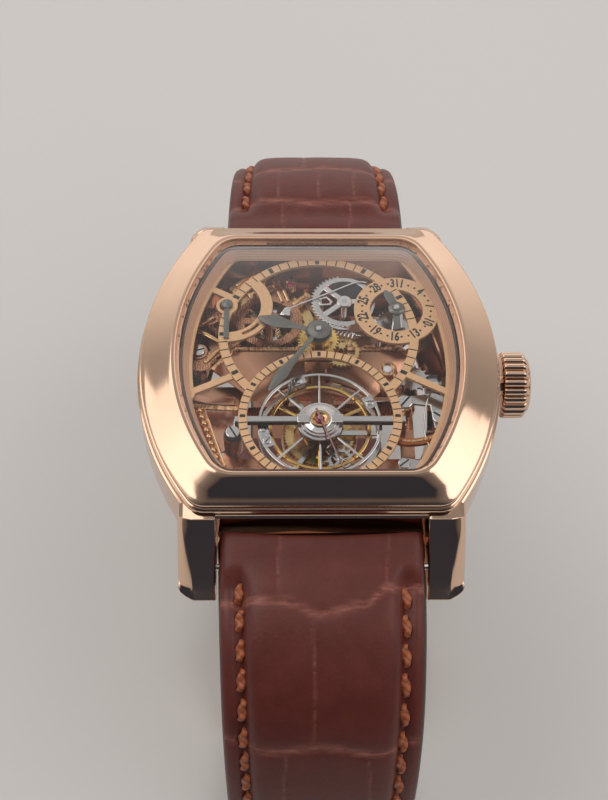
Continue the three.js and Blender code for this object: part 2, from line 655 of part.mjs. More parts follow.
function dateHand() {
  const outline = [[0.5, -0.42], [2.1, -0.5], [2.75, -0.1], [2.75, 0.1], [1.5, 0.45], [0.5, 0.42]];
  const pointer = extrude(polygon(outline), 0, SMALL_HAND_THICKNESS);
  const legs = [-0.32, 0.32].map((turn) => strut(
    -0.5, turn, -2.45, turn * 3.2, 0.28, 0, SMALL_HAND_THICKNESS,
  ));
  const hub = turned([[0, 0], [0.9, 0], [0.9, 0.2], [0.4, 0.32], [0.3, 0.45], [0, 0.45]], 20);
  return join(pointer, ...legs, hub).rotate([0, 0, DATE_HAND_ANGLE]);
}

// The 31-tooth star that carries the date hand.
function dateStar() {
  const low = STAR_Z - SMALL_HAND_Z;
  const star = wheel(STAR_TEETH, STAR_MODULE, low, low + 0.2, { spokes: 0 });
  return join(star, disc(0.3, PLATE_TOP + SEAT_GAP - SMALL_HAND_Z, 0, 0, 0, 10));
}

// Movement: plate, bridges and going train

const CENTRE_DISTANCE = CENTRE_MODULE * (CENTRE_TEETH + THIRD_PINION_TEETH) / 2;
const THIRD_DISTANCE = CENTRE_MODULE * (THIRD_TEETH + CARRIAGE_PINION_TEETH) / 2;
const BARREL_DISTANCE = BARREL_MODULE * (BARREL_TEETH + CENTRE_PINION_TEETH) / 2;
const AXES_DISTANCE = HANDS_Y - TOURBILLON_Y;
const THIRD_DROP = (CENTRE_DISTANCE ** 2 - THIRD_DISTANCE ** 2 + AXES_DISTANCE ** 2) / (2 * AXES_DISTANCE);
const THIRD_X = Math.sqrt(CENTRE_DISTANCE ** 2 - THIRD_DROP ** 2);
const THIRD_Y = HANDS_Y - THIRD_DROP;
const BARREL_DIRECTION = THREE.MathUtils.degToRad(147.6);
const BARREL_X = BARREL_DISTANCE * Math.cos(BARREL_DIRECTION);
const BARREL_Y = HANDS_Y + BARREL_DISTANCE * Math.sin(BARREL_DIRECTION);
const BARREL_DRUM = 4.95;
const BARREL_WELL = 5.85;
const PLATE_HALF_WIDTH = CAVITY_HALF_WIDTH - SEAT_GAP;
const PLATE_HALF_LENGTH = CAVITY_HALF_LENGTH - SEAT_GAP;
const ARBOR = 0.3;
const PIVOT_HOLE = ARBOR + 0.1;
const BARREL_BRIDGE_Z = 6.5;
const BARREL_BRIDGE_TOP = 7.1;
const RATCHET_Z = 6.1;
const RATCHET_TEETH = 30;
const RATCHET_MODULE = 0.24;

function degrees(radians) {
  return THREE.MathUtils.radToDeg(radians);
}

// Skeleton main plate with wells for the barrel, the train and the keyless works.
const PLATE_RIM = 1.6;
const SIDE_RIB_X = 9;
const UPPER_RIB_Y = -1.2;
const LOWER_RIB_Y = -10.2;
const STEM_CLEARANCE = 0.38;

function mainPlate() {
  const [low, high] = [PLATE_Z, PLATE_TOP];
  const rim = PLATE_RIM;
  const outer = tonneauSolid(PLATE_HALF_WIDTH, PLATE_HALF_LENGTH, low, high);
  const inner = tonneauSolid(PLATE_HALF_WIDTH - rim, PLATE_HALF_LENGTH - rim, 0, THROUGH);
  const side = PLATE_HALF_WIDTH - rim / 2;
  const end = PLATE_HALF_LENGTH - rim / 2;
  const ribs = [
    strut(-side, UPPER_RIB_Y, side, UPPER_RIB_Y, 1.3, low, high),
    strut(0, UPPER_RIB_Y, 0, end, 1.5, low, high),
    strut(0, HANDS_Y, side - 0.4, 9.5, 1.2, low, high),
    strut(-side, LOWER_RIB_Y, side, LOWER_RIB_Y, 1.2, low, high),
    disc(BARREL_WELL + 0.9, low, high, BARREL_X, BARREL_Y, 20),
    strut(0, TOURBILLON_Y + 4, 0, -1, 1.6, low, high), strut(0, TOURBILLON_Y - 4, 0, -end, 1.6, low, high),
    strut(-SIDE_RIB_X, UPPER_RIB_Y, -SIDE_RIB_X, -end, 1.4, low, high),
    strut(SIDE_RIB_X, UPPER_RIB_Y, SIDE_RIB_X, -end, 1.4, low, high),
    disc(1.9, low, high, 0, HANDS_Y), disc(1.2, low, high, THIRD_X, THIRD_Y),
    disc(1.3, low, high, MINUTE_WHEEL_X, MINUTE_WHEEL_Y),
    disc(1.8, low, high, DATE_X, DATE_Y), disc(1.1, low, high, CROWN_WHEEL_X, 0),
    disc(3.9, low, high, 0, TOURBILLON_Y, 20),
    strut(2, UPPER_RIB_Y, 12, 5.5, 1.1, low, high),
    disc(0.9, low, high, ...CALENDAR_PLACE), strut(0, CALENDAR_PLACE[1], ...CALENDAR_PLACE, 1.0, low, high),
    disc(0.85, low, high, ...RACK_PIVOT), strut(...RACK_PIVOT, DATE_X, DATE_Y, 1.0, low, high),
  ];
  const whole = join(outer.subtract(inner), ...ribs);
  const [wellStart, wellEnd] = [STEM_INNER_END - STEM_CLEARANCE, PLATE_HALF_WIDTH + 1];
  const keyless = block(wellEnd - wellStart, 3.4, low - 1, high + 1, (wellStart + wellEnd) / 2, 0);
  return cut(
    whole.intersect(outer),
    disc(BARREL_WELL, 0, THROUGH, BARREL_X, BARREL_Y, 20),
    disc(PIVOT_HOLE, 0, THROUGH, 0, HANDS_Y, 12),
    disc(CARRIAGE_ARBOR + 0.2, 0, THROUGH, 0, TOURBILLON_Y, 12),
    keyless,
  );
}

const CARRIAGE_ARBOR = 0.4;

// Upright ring between plate and dial; its polished wall carries on from the flange.
function movementRing() {
  const outer = tonneauSolid(PLATE_HALF_WIDTH, PLATE_HALF_LENGTH, PLATE_TOP, DIAL_BOTTOM);
  const inner = tonneauSolid(DIAL_HALF_WIDTH - 0.3, DIAL_HALF_LENGTH - 0.3, 0, THROUGH);
  return cut(outer, inner, block(8, 4.4, 0, CROWN_HEIGHT + 2.3, PLATE_HALF_WIDTH, 0));
}

// Back bridges carry the lower pivots; pillars reach up to the plate.
function backBridge(points, width, eyes, feet) {
  const [low, high] = [BACK_BRIDGE_Z, BACK_BRIDGE_TOP];
  const bars = points.slice(1).map((point, step) => strut(...points[step], ...point, width, low, high));
  const holes = eyes.map(([x, y]) => disc(PIVOT_HOLE, 0, high + 1, x, y, 8));
  const pads = [...eyes, ...feet].map(([x, y]) => disc(width * 0.75, low, high, x, y, 10));
  const pillars = feet.map(([x, y]) => disc(width * 0.6, low, PLATE_Z, x, y, 8));
  return cut(join(...bars, ...pads, ...pillars), ...holes);
}

// One back bridge for the third wheel, the centre wheel and the barrel.
const BARREL_FEET = [[BARREL_X - 6.4, BARREL_Y + 0.6], [BARREL_X + 1.6, BARREL_Y + 6.4]];

function backTrainBridge() {
  const ends = [[SIDE_RIB_X, UPPER_RIB_Y], [-SIDE_RIB_X, UPPER_RIB_Y - 1]];
  const third = backBridge([ends[0], [THIRD_X, THIRD_Y], ends[1]], 1.8, [[THIRD_X, THIRD_Y]], ends);
  const barrel = backBridge([BARREL_FEET[0], [BARREL_X, BARREL_Y], BARREL_FEET[1]], 2.0, [], BARREL_FEET);
  const link = backBridge([[BARREL_X, BARREL_Y], [0, HANDS_Y], [THIRD_X, THIRD_Y]], 1.8, [], []);
  const centre = backBridge([[0, HANDS_Y], [7.4, 2.2]], 1.7, [], [[7.4, 2.2]]);
  return cut(
    join(third, barrel, link, centre, disc(1.3, BACK_BRIDGE_Z, BACK_BRIDGE_TOP, 0, HANDS_Y)),
    disc(PIVOT_HOLE, 0, PLATE_TOP, 0, HANDS_Y, 8), disc(PIVOT_HOLE, 0, PLATE_TOP, THIRD_X, THIRD_Y, 8),
    disc(BARREL_ARBOR + 0.1, 0, PLATE_TOP, BARREL_X, BARREL_Y, 12),
  );
}

function carriageBackBridge() {
  const feet = [[SIDE_RIB_X, LOWER_RIB_Y], [-SIDE_RIB_X, LOWER_RIB_Y]];
  return backBridge([feet[0], [0, TOURBILLON_Y], feet[1]], 1.8, [[0, TOURBILLON_Y]], feet);
}

const BARREL_ARBOR = 0.55;

function barrelBridge() {
  const [low, high] = [BARREL_BRIDGE_Z, BARREL_BRIDGE_TOP];
  const feet = [...BARREL_FEET, [-12.3, 1.2]];
  const shapes = [
    ring(3.6, 2.7, low, high, BARREL_X, BARREL_Y, 20), disc(1.3, low, high, BARREL_X, BARREL_Y),
    strut(BARREL_X - 3.2, BARREL_Y, BARREL_X + 3.2, BARREL_Y, 0.8, low, high),
    strut(BARREL_X, BARREL_Y - 3.2, BARREL_X, BARREL_Y + 3.2, 0.8, low, high),
    strut(BARREL_X - 3.2, BARREL_Y + 0.3, ...feet[0], 1.3, low, high),
    strut(BARREL_X + 0.9, BARREL_Y + 3.2, ...feet[1], 1.3, low, high),
    strut(BARREL_X - 2.8, BARREL_Y - 2.0, ...feet[2], 1.1, low, high),
    disc(0.95, low, high, RESERVE_X, RESERVE_Y, 16),
    ...feet.map(([x, y]) => disc(1.15, low, high, x, y, 12)),
    ...feet.map(([x, y]) => disc(0.8, PLATE_TOP, low + 0.1, x, y, 8)),
  ];
  const room = tonneauSolid(DIAL_HALF_WIDTH - 0.4, DIAL_HALF_LENGTH - 0.4, 0, THROUGH);
  return cut(join(...shapes).intersect(room), disc(BARREL_ARBOR + 0.1, 0, THROUGH, BARREL_X, BARREL_Y));
}

function barrelDrum() {
  const gear = extrude(gearShape(BARREL_TEETH, BARREL_MODULE), BARREL_Z, BARREL_Z + 0.3, 8);
  const drum = disc(BARREL_DRUM, BARREL_Z, BARREL_TOP, 0, 0, 24);
  const hollow = disc(BARREL_DRUM - 0.3, BARREL_Z + 0.3, BARREL_TOP - 0.25, 0, 0, 24);
  const openings = windows(5, 3.9, 1.7, 0.44, BARREL_TOP - 1, BARREL_TOP + 1);
  return cut(join(gear, drum), hollow, disc(BARREL_ARBOR + 0.12, 0, THROUGH), ...openings);
}

// The arbor turns with the ratchet wheel above the barrel.
function barrelArbor() {
  return join(
    disc(BARREL_ARBOR, BACK_BRIDGE_Z, BARREL_BRIDGE_TOP, 0, 0, 14),
    disc(0.95, BARREL_Z + 0.35, BARREL_TOP - 0.35, 0, 0, 16),
  );
}

const RATCHET_BORE = BARREL_ARBOR + 0.05;

function ratchetWheel() {
  return wheel(RATCHET_TEETH, RATCHET_MODULE, RATCHET_Z, RATCHET_Z + 0.3, {
    spokes: 5, rim: 0.6, hub: 1.5, bore: RATCHET_BORE,
  });
}

// A flat strip wound in one unbroken spiral, with its least gap between turns printed.
function spiral(name, inner, pitch, turns, strip, bottom, top, steps) {
  const edge = (offset) => {
    const points = [];
    for (let step = 0; step <= turns * steps; step += 1) {
      const angle = step / steps * Math.PI * 2;
      const radius = inner + pitch * angle / (Math.PI * 2) + offset;
      points.push(new THREE.Vector2(radius * Math.cos(angle), radius * Math.sin(angle)));
    }
    return points;
  };
  const outside = edge(strip / 2);
  const inside = edge(-strip / 2);
  let gap = Infinity;
  for (let step = 0; step + steps < outside.length; step += 1) {
    gap = Math.min(gap, outside[step].distanceTo(inside[step + steps]));
  }
  console.log(`${name}: least gap between turns ${gap.toFixed(3)} mm`);
  return extrude(new THREE.Shape([...outside, ...inside.reverse()]), bottom, top);
}

function mainspring() {
  const body = spiral('mainspring', 1.15, 0.63, 5, 0.2, BARREL_Z + 0.45, BARREL_TOP - 0.4, 15);
  return body;
}

const CENTRE_PINION_PHASE = 0;
const BARREL_PHASE = meshPhase(CENTRE_PINION_TEETH, CENTRE_PINION_PHASE, BARREL_TEETH, BARREL_DIRECTION);

function centreWheel() {
  const gear = wheel(CENTRE_TEETH, CENTRE_MODULE, CENTRE_WHEEL_Z, CENTRE_WHEEL_Z + WHEEL_THICKNESS, {
    spokes: 4, rim: 0.55, hub: 1.0,
  });
  const pinion = extrude(gearShape(CENTRE_PINION_TEETH, BARREL_MODULE), CENTRE_WHEEL_Z, PLATE_Z - 0.1);
  const arbor = disc(ARBOR, BACK_BRIDGE_Z, MINUTE_HAND_Z - 0.3, 0, 0, 12);
  return join(gear, pinion, arbor);
}

const THIRD_DIRECTION = Math.atan2(THIRD_Y - HANDS_Y, THIRD_X);
const THIRD_PINION_PHASE = meshPhase(CENTRE_TEETH, 0, THIRD_PINION_TEETH, THIRD_DIRECTION);
const CARRIAGE_DIRECTION = Math.atan2(TOURBILLON_Y - THIRD_Y, -THIRD_X);
const CARRIAGE_PHASE = meshPhase(THIRD_TEETH, 0, CARRIAGE_PINION_TEETH, CARRIAGE_DIRECTION);

function thirdWheel() {
  const gear = wheel(THIRD_TEETH, CENTRE_MODULE, THIRD_WHEEL_Z, THIRD_WHEEL_Z + WHEEL_THICKNESS, {
    spokes: 4, rim: 0.5, hub: 0.8,
  });
  const pinion = extrude(gearShape(THIRD_PINION_TEETH, CENTRE_MODULE), THIRD_WHEEL_Z, CENTRE_WHEEL_Z + 0.4)
    .rotate([0, 0, degrees(THIRD_PINION_PHASE)]);
  return join(gear, pinion, disc(ARBOR, BACK_BRIDGE_Z, PLATE_Z + 0.3 - 0.35, 0, 0, 12));
}

// Tourbillon

const ESCAPE_DISTANCE = FIXED_MODULE * (FIXED_TEETH + ESCAPE_PINION_TEETH) / 2;
const ESCAPE_DIRECTION = THREE.MathUtils.degToRad(-60);
const FIXED_TOP = PLATE_TOP + 0.3;
const ESCAPE_WHEEL_Z = 6.15;
const ESCAPE_RADIUS = 1.7;
const PALLET_Z = 6.4;
const CARRIAGE_SPOKES = 6;
const PILLAR_REACH = CARRIAGE_RADIUS - CARRIAGE_RIM / 2;

function fixedWheel() {
  const gear = extrude(gearShape(FIXED_TEETH, FIXED_MODULE, CARRIAGE_ARBOR + 0.6), PLATE_TOP, FIXED_TOP, 10);
  return cut(gear, ...windows(3, 2.7, 1.6, 0.6, 0, THROUGH));
}

function carriageSpokes(bottom, top, width, count, offset) {
  const arms = [];
  for (let arm = 0; arm < count; arm += 1) {
    const angle = arm / count * Math.PI * 2 + offset;
    arms.push(strut(0, 0, ...polar(PILLAR_REACH, angle), width, bottom, top));
  }
  return join(...arms);
}

function carriageLower() {
  const [low, high] = [CARRIAGE_LOWER_Z, CARRIAGE_LOWER_Z + 0.2];
  const escape = polar(ESCAPE_DISTANCE, ESCAPE_DIRECTION);
  const teeth = gearShape(CARRIAGE_PINION_TEETH, CENTRE_MODULE);
  const pinion = extrude(teeth, THIRD_WHEEL_Z - 0.1, THIRD_WHEEL_Z + 0.45)
    .rotate([0, 0, degrees(CARRIAGE_PHASE)]);
  const pillars = [0, 1, 2].map((step) => disc(
    0.2, low, CARRIAGE_UPPER_Z, ...polar(PILLAR_REACH, step * Math.PI * 2 / 3), 8,
  ));
  const whole = join(
    ring(CARRIAGE_RADIUS, CARRIAGE_RADIUS - CARRIAGE_RIM, low, high, 0, 0, 28),
    carriageSpokes(low, high, 0.55, 3, 0), disc(1.0, low, high),
    strut(0, 0, ...polar(PILLAR_REACH, ESCAPE_DIRECTION), 0.7, low, high),
    disc(CARRIAGE_ARBOR, THIRD_WHEEL_Z - 0.2, low + 0.1, 0, 0, 12), pinion,
    disc(ARBOR, BACK_BRIDGE_Z, THIRD_WHEEL_Z, 0, 0, 12), ...pillars,
  );
  return cut(whole, disc(0.3, low - 0.1, 20, ...escape, 10), disc(0.2, high - 0.12, 20, 0, 0, 8));
}

function carriageUpper() {
  const [low, high] = [CARRIAGE_UPPER_Z, CARRIAGE_UPPER_Z + 0.18];
  return join(
    ring(CARRIAGE_RADIUS, CARRIAGE_RADIUS - CARRIAGE_RIM * 0.7, low, high, 0, 0, 28),
    carriageSpokes(low, high, 0.26, CARRIAGE_SPOKES, 0), disc(0.9, low, high, 0, 0, 20),
    disc(CARRIAGE_UPPER_PIVOT, low, SECONDS_HAND_Z, 0, 0, 10),
  ).subtract(disc(0.2, low - 1, low + 0.08, 0, 0, 8));
}

const CARRIAGE_UPPER_PIVOT = 0.16;
const SECONDS_HAND_Z = 8.72;
const SECONDS_HAND_ANGLE = -70.2;

function secondsHand() {
  const blade = extrude(polygon([[-1.2, -0.1], [6.4, -0.06], [6.4, 0.06], [-1.2, 0.1]]), 0, 0.1);
  return join(blade, disc(0.26, 0, 0.14, 0, 0, 14)).rotate([0, 0, SECONDS_HAND_ANGLE]);
}

const ESCAPE_ROOT = 1.22;

function escapeWheel() {
  const teeth = 15;
  const points = [];
  for (let tooth = 0; tooth < teeth; tooth += 1) {
    const angle = tooth / teeth * Math.PI * 2;
    points.push(polar(ESCAPE_RADIUS, angle));
    points.push(polar(ESCAPE_ROOT, angle + 0.1), polar(ESCAPE_ROOT, angle + 0.3));
  }
  const blade = extrude(polygon(points), ESCAPE_WHEEL_Z, ESCAPE_WHEEL_Z + 0.14);
  const leaves = gearShape(ESCAPE_PINION_TEETH, FIXED_MODULE);
  const pinion = extrude(leaves, PLATE_TOP + 0.05, CARRIAGE_LOWER_Z - 0.1)
    .rotate([0, 0, degrees(meshPhase(FIXED_TEETH, 0, ESCAPE_PINION_TEETH, ESCAPE_DIRECTION))]);
  const arbor = disc(0.18, PLATE_TOP + 0.05, ESCAPE_WHEEL_Z + 0.3, 0, 0, 8);
  return join(cut(blade, ...windows(3, 0.95, 0.4, 0.5, 0, THROUGH, 2)), pinion, arbor);
}

const PALLET_REACH = 1.85;

// Lever with two stones beside the escape wheel and a fork towards the balance staff. +X is outward.
function palletFork() {
  const [low, high] = [PALLET_Z, PALLET_Z + 0.12];
  const stones = [-1, 1].map((side) => strut(
    0.1, side * 0.1, 0.75, side * 1.75, 0.3, low, high,
  ));
  const jewels = [-1, 1].map((side) => block(0.3, 0.22, ESCAPE_WHEEL_Z, high, 0.8, side * 1.83));
  const lever = strut(-1.0, 0, 0.1, 0, 0.24, low, high);
  const horns = [-1, 1].map((side) => strut(-1.0, side * 0.05, -1.32, side * 0.2, 0.12, low, high));
  return join(...stones, ...jewels, lever, ...horns, disc(0.3, low, high, 0, 0, 12),
    disc(0.12, CARRIAGE_LOWER_Z + 0.2 + SEAT_GAP, high, 0, 0, 8));
}

function balanceWheel() {
  const [low, high] = [BALANCE_Z, BALANCE_Z + 0.3];
  const rim = ring(BALANCE_RADIUS, BALANCE_RADIUS - 0.35, low, high, 0, 0, 28);
  const arms = [0, 1, 2].map((step) => {
    const angle = step * Math.PI * 2 / 3 + 0.5;
    const reach = BALANCE_RADIUS - 0.2;
    return strut(0, 0, ...polar(reach, angle), 0.3, low + 0.05, high - 0.05);
  });
  const staff = disc(0.12, CARRIAGE_LOWER_Z + 0.13, CARRIAGE_UPPER_Z, 0, 0, 8);
  return join(rim, ...arms, disc(0.55, low, high, 0, 0, 16), disc(0.4, low - 0.12, low, 0, 0, 12), staff);
}

function hairspring() {
  return spiral('hairspring', 0.75, 0.52, 3, 0.1, BALANCE_Z + 0.4, BALANCE_Z + 0.55, 15);
}

const HUB_RADIUS = 2.35;
const BRIDGE_FOOT = 9.1;

// Polished bar over the carriage, on two feet outside the seconds ring.
function tourbillonBridge() {
  const [low, high] = [BRIDGE_BAR_Z, BRIDGE_BAR_TOP];
  const bar = block(BRIDGE_FOOT * 2, 0.6, low, high);
  const blocks = [-1, 1].map((side) => block(1.6, 0.9, low, high, side * (HUB_RADIUS + 0.1), 0));
  const hub = turned([
    [0, low], [HUB_RADIUS - 0.5, low], [HUB_RADIUS, low + 0.15], [HUB_RADIUS, high - 0.2],
    [HUB_RADIUS - 0.25, high], [0, high],
  ], 24);
  const feet = [-1, 1].map((side) => join(
    disc(0.95, PLATE_TOP, high - 0.25, side * BRIDGE_FOOT, 0, 12),
  ));
  return cut(
    join(bar, ...blocks, hub, ...feet),
    disc(CHATON_RADIUS, low + 0.2, 20, 0, 0, 20), disc(CARRIAGE_UPPER_PIVOT + 0.1, 0, THROUGH, 0, 0, 10),
  );
}

const CHATON_RADIUS = 1.02;

function chaton() {
  return ring(CHATON_RADIUS - 0.04, 0.5, BRIDGE_BAR_Z + 0.2, BRIDGE_BAR_TOP + 0.06, 0, 0, 20);
}

function bridgeJewel() {
  return turned([
    [CARRIAGE_UPPER_PIVOT + 0.05, BRIDGE_BAR_Z + 0.2], [0.46, BRIDGE_BAR_Z + 0.2],
    [0.46, BRIDGE_BAR_TOP - 0.05], [0.3, BRIDGE_BAR_TOP + 0.03],
    [CARRIAGE_UPPER_PIVOT + 0.05, BRIDGE_BAR_TOP - 0.05], [CARRIAGE_UPPER_PIVOT + 0.05, BRIDGE_BAR_Z + 0.2],
  ], 16);
}

// Keyless works and calendar steel

const CROWN_WHEEL_Z = CROWN_HEIGHT + 1.0;
const GROOVE_X = STEM_INNER_END + 2.45;

// The winding pinion's top teeth reach between the crown wheel's teeth from below.
function crownWheel() {
  return join(
    wheel(CROWN_WHEEL_TEETH, WINDING_MODULE, 0, 0.3, { spokes: 0, phase: Math.PI / CROWN_WHEEL_TEETH }),
    disc(0.3, PLATE_TOP + SEAT_GAP - CROWN_WHEEL_Z, 0.45, 0, 0, 12),
  );
}

function settingLever() {
  return join(
    strut(0, 0.3, -0.1, -1.9, 0.55, 5.42, 5.7), disc(0.42, 5.42, 5.7, -0.1, -1.8, 12),
    disc(0.16, CROWN_HEIGHT + 0.45, 5.5, 0, 0, 8),
  );
}

const CLICK_THICKNESS = 0.25;
const CLICK_ARM_X = 1.7;         // from the click's pin to its tip in the ratchet's teeth
const CLICK_ARM_Y = 1.3;

function click() {
  const reach = Math.hypot(CLICK_ARM_X, CLICK_ARM_Y);
  const outline = [[-0.5, -0.35], [0.6, -0.32], [reach, -0.1], [reach, 0.12], [0.5, 0.35], [-0.5, 0.35]];
  const lever = extrude(polygon(outline), 0, CLICK_THICKNESS);
  const pin = disc(0.2, 0, BARREL_BRIDGE_Z - SEAT_GAP - RATCHET_Z, 0, 0, 10);
  return join(lever, disc(0.5, 0, CLICK_THICKNESS, 0, 0, 14), pin)
    .rotate([0, 0, degrees(Math.atan2(CLICK_ARM_Y, CLICK_ARM_X))]);
}

const CLICK_PLACE = [-10.05, 3.1];
const CALENDAR_PLACE = [2.85, 8.45];
const CALENDAR_RADIUS = 3.5;
const CALENDAR_TEETH = 48;
const CALENDAR_Z = 8.22;
const CALENDAR_THICKNESS = 0.16;
const CALENDAR_ARMS = [0, 2.39, 3.84];

// Open steel wheel with fine teeth on half its rim and a three-cornered web.
function calendarWheel() {
  const low = CALENDAR_Z;
  const outline = [];
  for (let tooth = 0; tooth < CALENDAR_TEETH; tooth += 1) {
    const unit = Math.PI * 2 / CALENDAR_TEETH;
    const toothed = tooth >= CALENDAR_TEETH * 0.27 && tooth < CALENDAR_TEETH * 0.77;
    outline.push(polar(CALENDAR_RADIUS - 0.2, tooth * unit));
    if (toothed) outline.push(polar(CALENDAR_RADIUS + 0.15, (tooth + 0.35) * unit));
  }
  const rimShape = polygon(outline);
  rimShape.holes.push(circlePath(CALENDAR_RADIUS - 0.75));
  const high = low + CALENDAR_THICKNESS;
  const rim = extrude(rimShape, low, high, 24);
  const web = CALENDAR_ARMS.map((angle) => strut(
    0, 0, ...polar(CALENDAR_RADIUS - 0.5, angle), 0.6, low, high,
  ));
  return join(
    rim, ...web, disc(0.8, low, high, 0, 0, 16),
    disc(0.3, PLATE_TOP + SEAT_GAP, low + 0.1, 0, 0, 10),
  );
}

// Steel lever with a short toothed rack beside the hands.
const RACK_PIVOT = [6.4, 4.6];
const RACK_SLOPE = -19.6;
const RACK_LENGTH = 3.2;
const RACK_Z = 7.35;
const RACK_THICKNESS = 0.25;

function calendarRack() {
  const [low, high] = [RACK_Z, RACK_Z + RACK_THICKNESS];
  const teeth = [];
  for (let tooth = 0; tooth < 7; tooth += 1) {
    teeth.push(block(0.16, 0.5, low, high, 0.35 + tooth * 0.42, -0.42));
  }
  const rack = join(strut(0, 0, RACK_LENGTH, 0, 0.5, low, high), ...teeth)
    .rotate([0, 0, RACK_SLOPE]).translate([-5.3, 1.15, 0]);
  const arm = strut(-2.4, 0.1, 0, 0, 0.6, low, high);
  const post = disc(0.35, PLATE_TOP + SEAT_GAP, high + 0.1, 0, 0, 10);
  return join(arm, rack, disc(0.7, low, high, 0, 0, 16), post);
}

// Thin straight spring held in a small steel block.
const SPRING_BLOCK = [-3.5, 7.0];
const SPRING_BEND = [4.33, 11.09];
const SPRING_TIP = [5.3, 10.95];
const SPRING_Z = 8.46;
const SPRING_HEIGHT = 0.1;

function jumperSpring() {
  const [x, y] = SPRING_BLOCK;
  const high = SPRING_Z + SPRING_HEIGHT;
  const outline = polygon([[-0.6, -0.55], [0.55, -0.65], [0.65, 0.5], [0, 0.55]]);
  const foot = extrude(outline, BARREL_BRIDGE_TOP, high).translate([x, y, 0]);
  return join(
    foot, strut(x + 0.4, y + 0.3, ...SPRING_BEND, 0.14, SPRING_Z, high),
    strut(...SPRING_BEND, ...SPRING_TIP, 0.14, SPRING_Z, high),
  );
}

// Strap, buckle and keepers

const INNER_SIDE = 1.1;
const MARGIN_SIDE = 0.9;
const TAIL_INNER = 0.9;
const BUCKLE_BAR_Y = -9;
const INNER_LAYER_Z = -35.6;
const TAIL_LAYER_Z = -38.2;
const KEEPER_GAP = 0.3;
const KEEPER_WALL = 1.2;
const KEEPER_LENGTH = 5;
const FIXED_KEEPER_Y = 5.5;
const FREE_KEEPER_Y = 16.5;
const FLOOR_Z = TAIL_LAYER_Z - MARGIN_SIDE - KEEPER_GAP - KEEPER_WALL;
const HALF_BUCKLE = BUCKLE_WIDTH / 2;
const MARGIN_WIDTH = 2.2;
const STRAP_START = -1.9;
const STRAP_STEPS = 28;

function strapCurve(points) {
  return new THREE.CatmullRomCurve3(points.map(([y, z]) => new THREE.Vector3(0, y, z)), false, 'centripetal');
}

// One half of the strap in the +Y sense: a padded section swept down its path.
// A cylinder along X that clears a bar.
function crossBar(radius, y, z) {
  return disc(radius, -THROUGH, THROUGH).rotate([0, 90, 0]).translate([0, y, z]);
}

function strapHalf(points, inner, tipLength) {
  const curve = strapCurve(points);
  const length = curve.getLength();
  const rings = [];
  for (let step = 0; step <= STRAP_STEPS; step += 1) {
    const part = step / STRAP_STEPS;
    const along = part * length;
    const point = curve.getPointAt(part);
    const tangent = curve.getTangentAt(part);
    const normal = new THREE.Vector3(0, -tangent.z, tangent.y);
    const taper = Math.min(1, along / TAPER_LENGTH);
    let half = THREE.MathUtils.lerp(STRAP_WIDTH, BUCKLE_WIDTH, taper) / 2;
    if (tipLength > 0 && length - along < tipLength) {
      const rest = (length - along) / tipLength;
      half *= 0.35 + 0.65 * Math.sqrt(Math.max(0, 1 - (1 - rest) ** 2));
    }
    const fullness = Math.min(1, PAD_START + along / PAD_RISE);
    const pad = PAD_HEIGHT * Math.max(0, 1 - (along / PAD_LENGTH) ** 2) * fullness;
    const margin = Math.min(MARGIN_WIDTH, half * 0.3);
    const section = [
      [-half, -inner], [half, -inner], [half, MARGIN_SIDE], [half - margin, MARGIN_SIDE + 0.02],
      [half - margin - 1.0, MARGIN_SIDE + 0.03 + pad * 0.75], [half * 0.4, MARGIN_SIDE + 0.04 + pad],
      [-half * 0.4, MARGIN_SIDE + 0.04 + pad], [-half + margin + 1.0, MARGIN_SIDE + 0.03 + pad * 0.75],
      [-half + margin, MARGIN_SIDE + 0.02], [-half, MARGIN_SIDE],
    ];
    rings.push(section.map(([x, rise]) => new THREE.Vector3(
      x, point.y + normal.y * rise, point.z + normal.z * rise,
    )));
  }
  let body = loft(rings);
  if (body.volume() < 0) body = loft(rings.map((ring) => ring.slice().reverse()));
  return body.subtract(crossBar(BAR_RADIUS + 0.15, BAR_REACH, BAR_HEIGHT));
}

const SHOULDER = [
  [BAR_REACH + STRAP_START, BAR_HEIGHT - 0.1], [BAR_REACH, BAR_HEIGHT], [25.5, 4.1], [29.5, 3.2],
  [34.3, 0.3], [37.6, -5], [39.3, -12],
];

function strapUpper() {
  const path = [
    ...SHOULDER, [39, -20], [35.8, -28], [29.5, -33.4], [22, INNER_LAYER_Z + 0.3],
    [12, INNER_LAYER_Z], [BUCKLE_BAR_Y - 1.3, INNER_LAYER_Z],
  ];
  const bar = crossBar(BAR_RADIUS + 0.15, BUCKLE_BAR_Y, INNER_LAYER_Z);
  const slot = block(2.8, 4.4, -50, -30, 0, BUCKLE_BAR_Y - 0.2);
  return cut(strapHalf(path, INNER_SIDE, 0), bar, slot);
}

const TANG_HOLE_Y = -13.2;
const HOLE_PITCH = 7;

function strapLower() {
  const path = [
    ...SHOULDER, [39.2, -20], [36.8, -28], [31.5, -34.5], [24.5, TAIL_LAYER_Z + 0.6],
    [16, TAIL_LAYER_Z], [0, TAIL_LAYER_Z], [-26, TAIL_LAYER_Z],
  ];
  const body = strapHalf(path, TAIL_INNER, 7).mirror([0, 1, 0]);
  const slot = join(
    block(1.9, 6.0, -45, -30, 0, TANG_HOLE_Y), disc(0.95, -45, -30, 0, TANG_HOLE_Y - 3, 12),
    disc(0.95, -45, -30, 0, TANG_HOLE_Y + 3, 12),
  );
  const holes = [-1.2, 1.2, 2.2, 3.2].map((step) => disc(0.8, -45, -30, 0, TANG_HOLE_Y + step * HOLE_PITCH));
  return cut(body, slot, ...holes);
}

